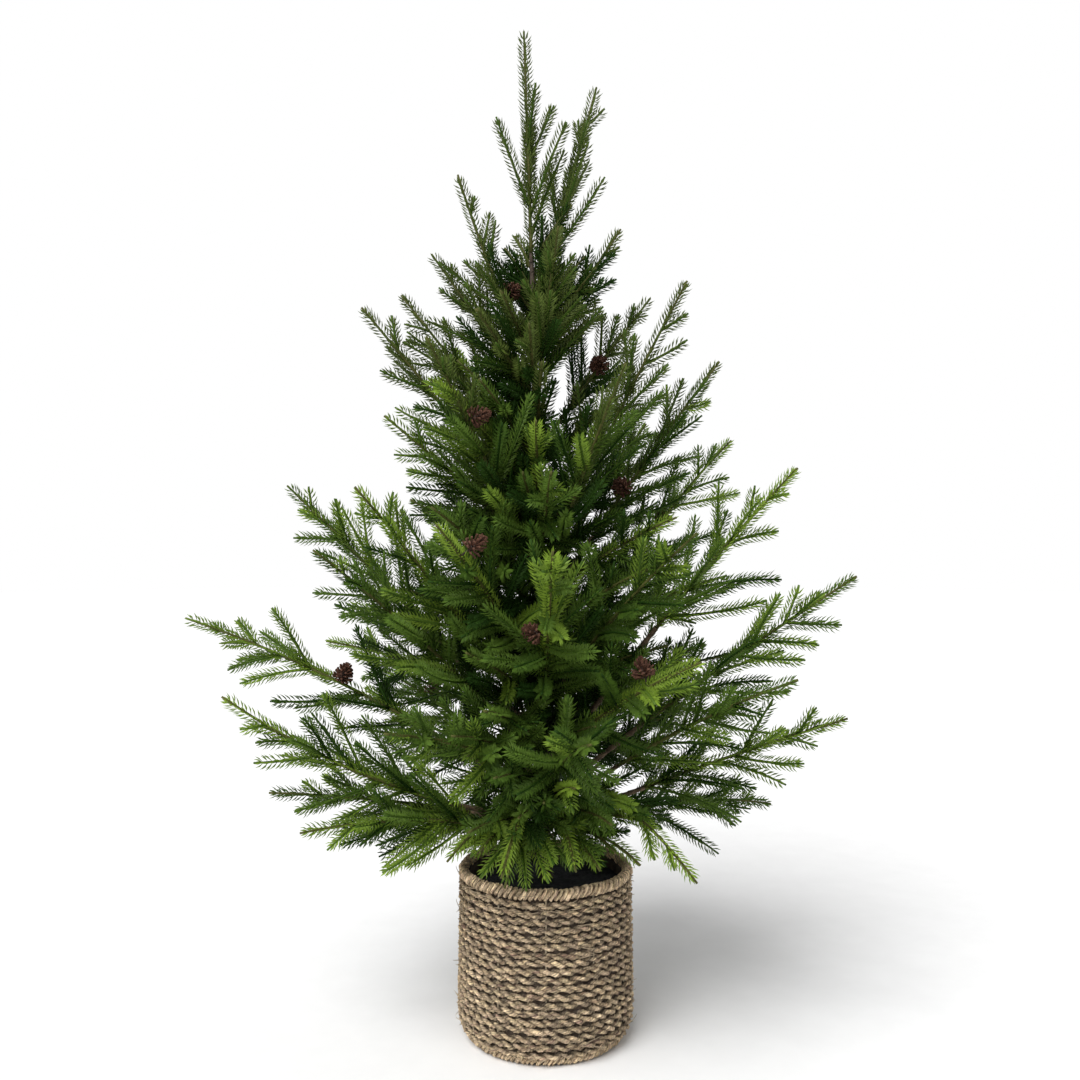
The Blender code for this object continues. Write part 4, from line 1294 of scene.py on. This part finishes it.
# %% Rows of twisted cord
ROWS = 19
ROW_PITCH = 6.95 * MM
FIRST_ROW = 11.5 * MM
STRAND_RADIUS = 2.35 * MM
CORD_OFFSET = 1.7 * MM
CORD_LAY = 22 * MM
STRAND_LAY = 11 * MM
STRAND_STEP = 2.3 * MM
strands = []
for row in range(ROWS):
    height = FIRST_ROW + ROW_PITCH * row
    radius = basket_radius(height) - STRAND_RADIUS - CORD_OFFSET
    around = math.tau * radius
    count = int(around / STRAND_STEP)
    turns = np.arange(count) * math.tau / count
    rise = waves(turns, 2, 14, 0.75 * MM)
    swell = waves(turns, 3, 14, 0.3 * MM)
    lays = round(around / (CORD_LAY * weave_draw.uniform(0.9, 1.12)))
    start = weave_draw.uniform(0, math.tau)
    for strand in range(2):
        phase = start + math.pi * strand - turns * lays + waves(turns, 5, 22, 0.6)
        size = STRAND_RADIUS * (1 + waves(turns, 9, 40, 0.14))
        spot = radius + swell + CORD_OFFSET * np.cos(phase)
        places = np.stack((spot * np.cos(turns), spot * np.sin(turns),
                           height + rise + CORD_OFFSET * np.sin(phase)), axis=1)
        own_turns = round(around / (STRAND_LAY * weave_draw.uniform(0.85, 1.2)))
        strands.append((places, size, -turns * own_turns))
basket_rows = sweep("basket_rows", strands, strand_section, cyclic=True)
print(len(strands), "strands,", len(basket_rows.data.vertices), "corners")

# %% [markdown]
# A strand's colour runs along it, so an attribute keeps each corner's strand and its place
# along it. A second one tells how near the weave's surface a corner is: from it the finish
# paints shade between the strands and a highlight on their crests.

# %% Attributes of strands
FIBRE_WIDTH = 0.013
STRAND_APART = 0.37
CREVICE = 4.2 * MM


def strand_attributes(piece, limbs, depth):
    """Write each corner's place on its strand, and how far down in the weave it lies."""
    rows = []
    for number, (line, radii, tilts) in enumerate(limbs):
        steps = np.linalg.norm(np.diff(line, axis=0, append=line[:1]), axis=1)
        along = np.repeat(np.concatenate(([0], np.cumsum(steps)[:-1])), STRAND_POINTS)
        around = np.tile(np.arange(STRAND_POINTS) * FIBRE_WIDTH, len(line))
        rows.append(np.stack((along, np.full(len(along), number * STRAND_APART), around), axis=1))
    strand = piece.data.attributes.new("strand", "FLOAT_VECTOR", "POINT")
    strand.data.foreach_set("vector", np.concatenate(rows).astype(np.float32).ravel())
    # crest is 1 on the weave's surface and 0 deep in it; the finish turns it into painted shade and
    # painted highlight
    crest = piece.data.attributes.new("crest", "FLOAT", "POINT")
    crest.data.foreach_set("value", np.clip(1 - depth / CREVICE, 0, 1).astype(np.float32))


def corner_places(piece):
    """How far out from the upright axis the corners of a piece are, and how high."""
    places = corner_array(piece)
    return np.hypot(places[:, 0], places[:, 1]), places[:, 2]


outs, heights = corner_places(basket_rows)
walls = np.array([basket_radius(max(0.0, height)) for height in heights])
strand_attributes(basket_rows, strands, walls - outs)
print("the deepest corner lies", round(1000 * (walls - outs).max(), 1), "mm inside the wall")

# %% [markdown]
# The finish multiplies a ramp of dried leaf colours that changes along each strand, a fine
# grain, streaks for the fibres, and painted shade deep between the strands, which turns into
# a painted highlight on their crests.

# %% The seagrass finish
SEAGRASS = (
    (0.30, (0.260, 0.172, 0.130)), (0.40, (0.550, 0.420, 0.285)), (0.47, (0.700, 0.580, 0.385)),
    (0.53, (0.500, 0.375, 0.280)), (0.60, (0.760, 0.630, 0.445)), (0.70, (0.420, 0.285, 0.225)))
LEAF_SCALE = 22
GRAIN = (260, (0.42, 0.40, 0.38), (1.15, 1.12, 1.05))
FIBRES = (75, (0.10, 0.09, 0.08), (1.95, 1.90, 1.80))
GRAIN_SHARE, FIBRE_SHARE = 0.8, 0.9
# painted shade between the strands and a painted highlight on their crests
PAINTED_CREVICE_SHADE, PAINTED_CREST_HIGHLIGHT = 0.22, 1.62
SEAGRASS_ROUGHNESS = 0.72
FIBRE_BUMP = 0.0005
seagrass, tree, shader = new_material("seagrass_cord")
shader.inputs["Roughness"].default_value = SEAGRASS_ROUGHNESS
strand = add_node(tree, "Attribute", attribute_name="strand")
crest = add_node(tree, "Attribute", attribute_name="crest")
patches = add_node(tree, "TexNoise", {"Scale": LEAF_SCALE, "Detail": 2, "Roughness": 0.5})
ramp = add_node(tree, "ValToRGB")
stops = ramp.color_ramp.elements
for place, colour in SEAGRASS:
    stops.new(place).color = (*colour, 1)
stops.remove(stops[-1])
stops.remove(stops[0])
grain = add_mottle(tree, add_node(tree, "TexCoord"), "Object", *GRAIN)
fibres = add_mottle(tree, strand, "Vector", *FIBRES)
tint = add_node(tree, "Mix", {"Factor": GRAIN_SHARE}, data_type="RGBA", blend_type="MULTIPLY")
streaks = add_node(tree, "Mix", {"Factor": FIBRE_SHARE}, data_type="RGBA", blend_type="MULTIPLY")
painted_relief = add_node(tree, "MapRange", {"To Min": PAINTED_CREVICE_SHADE, "To Max": PAINTED_CREST_HIGHLIGHT})
shade = add_node(tree, "VectorMath", operation="SCALE")
add_bumps(tree, fibres, shader, FIBRE_BUMP)
connect(tree,
        (strand, "Vector", patches, "Vector"), (patches, "Fac", ramp, "Fac"),
        (ramp, "Color", tint, "A"), (grain, "Color", tint, "B"),
        (tint, "Result", streaks, "A"), (fibres, "Color", streaks, "B"),
        (crest, "Fac", painted_relief, "Value"), (painted_relief, "Result", shade, "Scale"),
        (streaks, "Result", shade, 0), (shade, "Vector", shader, "Base Color"))
dress(basket_rows, ["basket"], seagrass)

# %% [markdown]
# ## Rim and foot band
# Round the mouth and the foot the same strand is wound tightly about a hidden ring: its line
# circles the ring as it travels round the basket. Each wrap slants a little.

# %% Wound rim and foot band
WRAP_SLANT = 3.8 * MM
WRAP_RADIUS = 2.1 * MM
WRAP_STEPS = 9
# name, the ring's radius and height, the wraps' reach across and up, their number, a wobble
WOUND_RINGS = (
    ("basket_rim", 73.5, 145.4, 2.8, 3.6, 106, 0.8),
    ("basket_foot_band", 67.4, 5.6, 3.2, 3.2, 96, 0.1))
for name, radius, height, hub, tall, wraps, wobble in WOUND_RINGS:
    radius, height, hub, tall = radius * MM, height * MM, hub * MM, tall * MM
    count = wraps * WRAP_STEPS
    turns = np.arange(count) * math.tau / count
    phase = -turns * wraps + waves(turns, 7, 31, 0.9)
    size = WRAP_RADIUS * (1 + waves(turns, 15, 60, 0.24))
    lift = waves(turns, 2, 13, wobble * MM)
    spot = radius + (hub + waves(turns, 20, 50, 0.35 * MM)) * np.cos(phase)
    slanted = turns + WRAP_SLANT / radius * np.sin(phase)
    places = np.stack((spot * np.cos(slanted), spot * np.sin(slanted),
                       height + lift + tall * np.sin(phase)), axis=1)
    limbs = [(places, size, -turns * wraps)]
    ring = sweep(name, limbs, strand_section, cyclic=True)
    outs, heights = corner_places(ring)
    reach = np.hypot(outs - radius, (heights - height) * hub / tall)
    # the wraps get the same painted shade between them and painted highlight on top
    strand_attributes(ring, limbs, hub + WRAP_RADIUS - reach)
    dress(ring, ["basket"], seagrass)

# %% [markdown]
# Single leaf ends have worked loose, most of them near the rim and the foot. Each is a thin
# tapering tube that leaves the wall at a flat angle.

# %% Loose fibres
LOOSE_FIBRES = 150
# heights near the foot, anywhere and near the rim, in mm
LOOSE_HEIGHTS = ((8, 26), (20, 142), (128, 147))
FIBRE_ROOT, FIBRE_TIP = 0.5 * MM, 0.14 * MM
FIBRE_DEPTH = 2.5 * MM
loose_draw = random.Random(21)
loose_tubes = []
for k in range(LOOSE_FIBRES):
    height = loose_draw.choice([loose_draw.uniform(*ends) for ends in LOOSE_HEIGHTS]) * MM
    turn = loose_draw.uniform(0, math.tau)
    out = Vector((math.cos(turn), math.sin(turn), 0))
    along = Vector((-out.y, out.x, 0)) * loose_draw.choice((-1, 1))
    length = loose_draw.uniform(6, 17) * MM
    root = out * (basket_radius(height) - FIBRE_DEPTH) + Vector((0, 0, height))
    lift = loose_draw.uniform(1.5, 5.5) * MM
    tip = root + along * length + out * lift + Vector((0, 0, loose_draw.uniform(-5, 5) * MM))
    bend = root + (tip - root) * 0.5 + out * loose_draw.uniform(0.5, 2.0) * MM
    loose_tubes.append(tube(Line(root, bend, tip), FIBRE_ROOT, FIBRE_TIP, 4, 3 * MM))
fibre_tan = finish("fibre_tan", (0.20, 0.145, 0.095), (0.48, 0.38, 0.25), 90, 0.7)
dress(join_tubes("loose_fibres", loose_tubes), ["basket"], fibre_tan)

# %% [markdown]
# ## Stakes and lining
# Eleven pale stakes stand inside the rows and show through small gaps. Behind them a dark
# lining, an outline spun once round the upright axis, keeps light from coming through. Its dark
# colour is painted shade for the gaps in the weave.

# %% Stakes and lining
STAKES = 11
STAKE_RADIUS = 0.8 * MM
STAKE_DEPTH = 4.8 * MM
STAKE_ENDS = (19.5 * MM, 143 * MM)
stake_tubes = []
for k in range(STAKES):
    turn = math.tau * k / STAKES - math.pi / 2
    foot, head = (Vector(((basket_radius(z) - STAKE_DEPTH) * math.cos(turn),
                          (basket_radius(z) - STAKE_DEPTH) * math.sin(turn), z))
                  for z in STAKE_ENDS)
    stake_tubes.append(tube(arched(foot, head, 0), STAKE_RADIUS, STAKE_RADIUS, 6, 12 * MM))
stake_cream = finish("stake_cream", (0.28, 0.21, 0.13), (0.62, 0.53, 0.38), 200, 0.6)
dress(join_tubes("basket_stakes", stake_tubes), ["basket"], stake_cream)

LINING_STEPS = 48
LINING_WELD = 0.00005
# the lining's outline in mm: out from the axis and up, first its outside, then its inside
LINING = ((0, 1.5), (60, 1.5), (66, 4), (72.5, 12), (75.2, 24), (74.6, 90), (73.0, 144),
          (70.2, 144), (70.6, 90), (71.0, 26), (69.0, 14), (64, 7), (0, 7))
outline = bpy.data.meshes.new("basket_lining")
outline.from_pydata([(x * MM, 0, z * MM) for x, z in LINING],
                    [(i, i + 1) for i in range(len(LINING) - 1)], [])
lining = linked("basket_lining", outline)
select_only(lining)
bpy.ops.object.mode_set(mode="EDIT")
bpy.ops.mesh.select_all(action="SELECT")
bpy.ops.mesh.spin(steps=LINING_STEPS, angle=math.tau, center=(0, 0, 0), axis=(0, 0, 1))
bpy.ops.object.mode_set(mode="OBJECT")
close_up(lining, LINING_WELD, 40)
# a dark sheet of painted shade behind the weave
lining_painted_shade = finish("lining_painted_shade", (0.022, 0.014, 0.009), (0.085, 0.058, 0.038), 200, 0.85)
dress(lining, ["basket"], lining_painted_shade)

# %% [markdown]
# ## The filling
# The trunk stands in almost black foam whose top is uneven. A cylinder's top is cut finely, and
# its corners are moved up and down by waves of many directions.

# %% The filling
FILL_RADIUS = 69.4 * MM
FILL_DEPTH, FILL_MIDDLE = 126 * MM, 72 * MM
FILL_CUTS = 15
FILL_SINK, FILL_EDGE = 2.2 * MM, 2 * MM
LUMPS, LUMP_HEIGHT, LUMP_WAVES = 26, 4.5 * MM, (60, 420)
select_only()
bpy.ops.mesh.primitive_cylinder_add(vertices=64, radius=FILL_RADIUS, depth=FILL_DEPTH,
                                    location=(0, 0, FILL_MIDDLE), end_fill_type="TRIFAN")
filling = bpy.context.object
filling.name = "filling_foam"
bpy.ops.object.transform_apply(location=True)
bpy.ops.object.mode_set(mode="EDIT")
bpy.ops.mesh.select_mode(type="FACE")
bpy.ops.mesh.select_all(action="DESELECT")
bpy.ops.object.mode_set(mode="OBJECT")
for polygon in filling.data.polygons:
    polygon.select = polygon.normal.z > 0.9
bpy.ops.object.mode_set(mode="EDIT")
bpy.ops.mesh.subdivide(number_cuts=FILL_CUTS)
bpy.ops.object.mode_set(mode="OBJECT")
places = corner_array(filling)
top = places[:, 2] > FILL_MIDDLE + FILL_DEPTH / 2 - 1 * MM
x, y = places[top, 0], places[top, 1]
fill_draw = np.random.default_rng(4)
lumps = np.zeros(len(x))
for k in range(LUMPS):
    size = fill_draw.uniform(*LUMP_WAVES)
    turn = fill_draw.uniform(0, math.tau)
    way = x * math.cos(turn) + y * math.sin(turn)
    lumps += np.sin(way * size + fill_draw.uniform(0, 6.3)) / size ** 0.5
places[top, 2] = FILL_TOP - FILL_SINK + LUMP_HEIGHT * lumps
places[top, 2] -= FILL_EDGE * (np.hypot(x, y) / FILL_RADIUS) ** 3
filling.data.vertices.foreach_set("co", places.ravel())
filling.data.update()
bpy.ops.object.shade_smooth_by_angle(angle=math.radians(60))
foam_black = finish("foam_black", (0.0015, 0.0025, 0.005), (0.008, 0.011, 0.018), 240, 0.85, 0.0006)
dress(filling, ["filling"], foam_black)

# %% [markdown]
# ## Floor and light
# The tree stands on a plain pale floor in soft light from all round, with one large soft lamp
# high in front and to the left. The sky looks white to the camera but lights the tree less
# brightly, so the needles keep their contrast.

# %% Floor and light
SKY_SEEN = 1.0
SKY_LIGHT = 0.48
LAMP_ENERGY = 3.1
LAMP_ANGLE = 38
LAMP_FROM = (-0.9, -1.5, 2.2)
select_only()
bpy.ops.mesh.primitive_circle_add(vertices=96, radius=9, fill_type="NGON", location=(0, 0, 0))
floor = bpy.context.object
floor.name = "floor"
floor.data.materials.append(floor_paint)

world = bpy.data.worlds.new("studio")
scene.world = world
world.use_nodes = True
sky = world.node_tree.nodes["Background"]
sky.inputs["Color"].default_value = (1, 1, 1, 1)
seen = add_node(world.node_tree, "LightPath")
level = add_node(world.node_tree, "MapRange", {"To Min": SKY_LIGHT, "To Max": SKY_SEEN})
connect(world.node_tree, (seen, "Is Camera Ray", level, "Value"),
        (level, "Result", sky, "Strength"))

bpy.ops.object.light_add(type="SUN", location=(-1, -2, 3))
lamp = bpy.context.object
lamp.name = "key_lamp"
lamp.data.energy = LAMP_ENERGY
lamp.data.angle = math.radians(LAMP_ANGLE)
lamp.rotation_euler = (-Vector(LAMP_FROM)).to_track_quat("-Z", "Y").to_euler()
for helper in (tape_section, strand_section):
    bpy.data.objects.remove(helper)
print("floor, sky and one lamp")
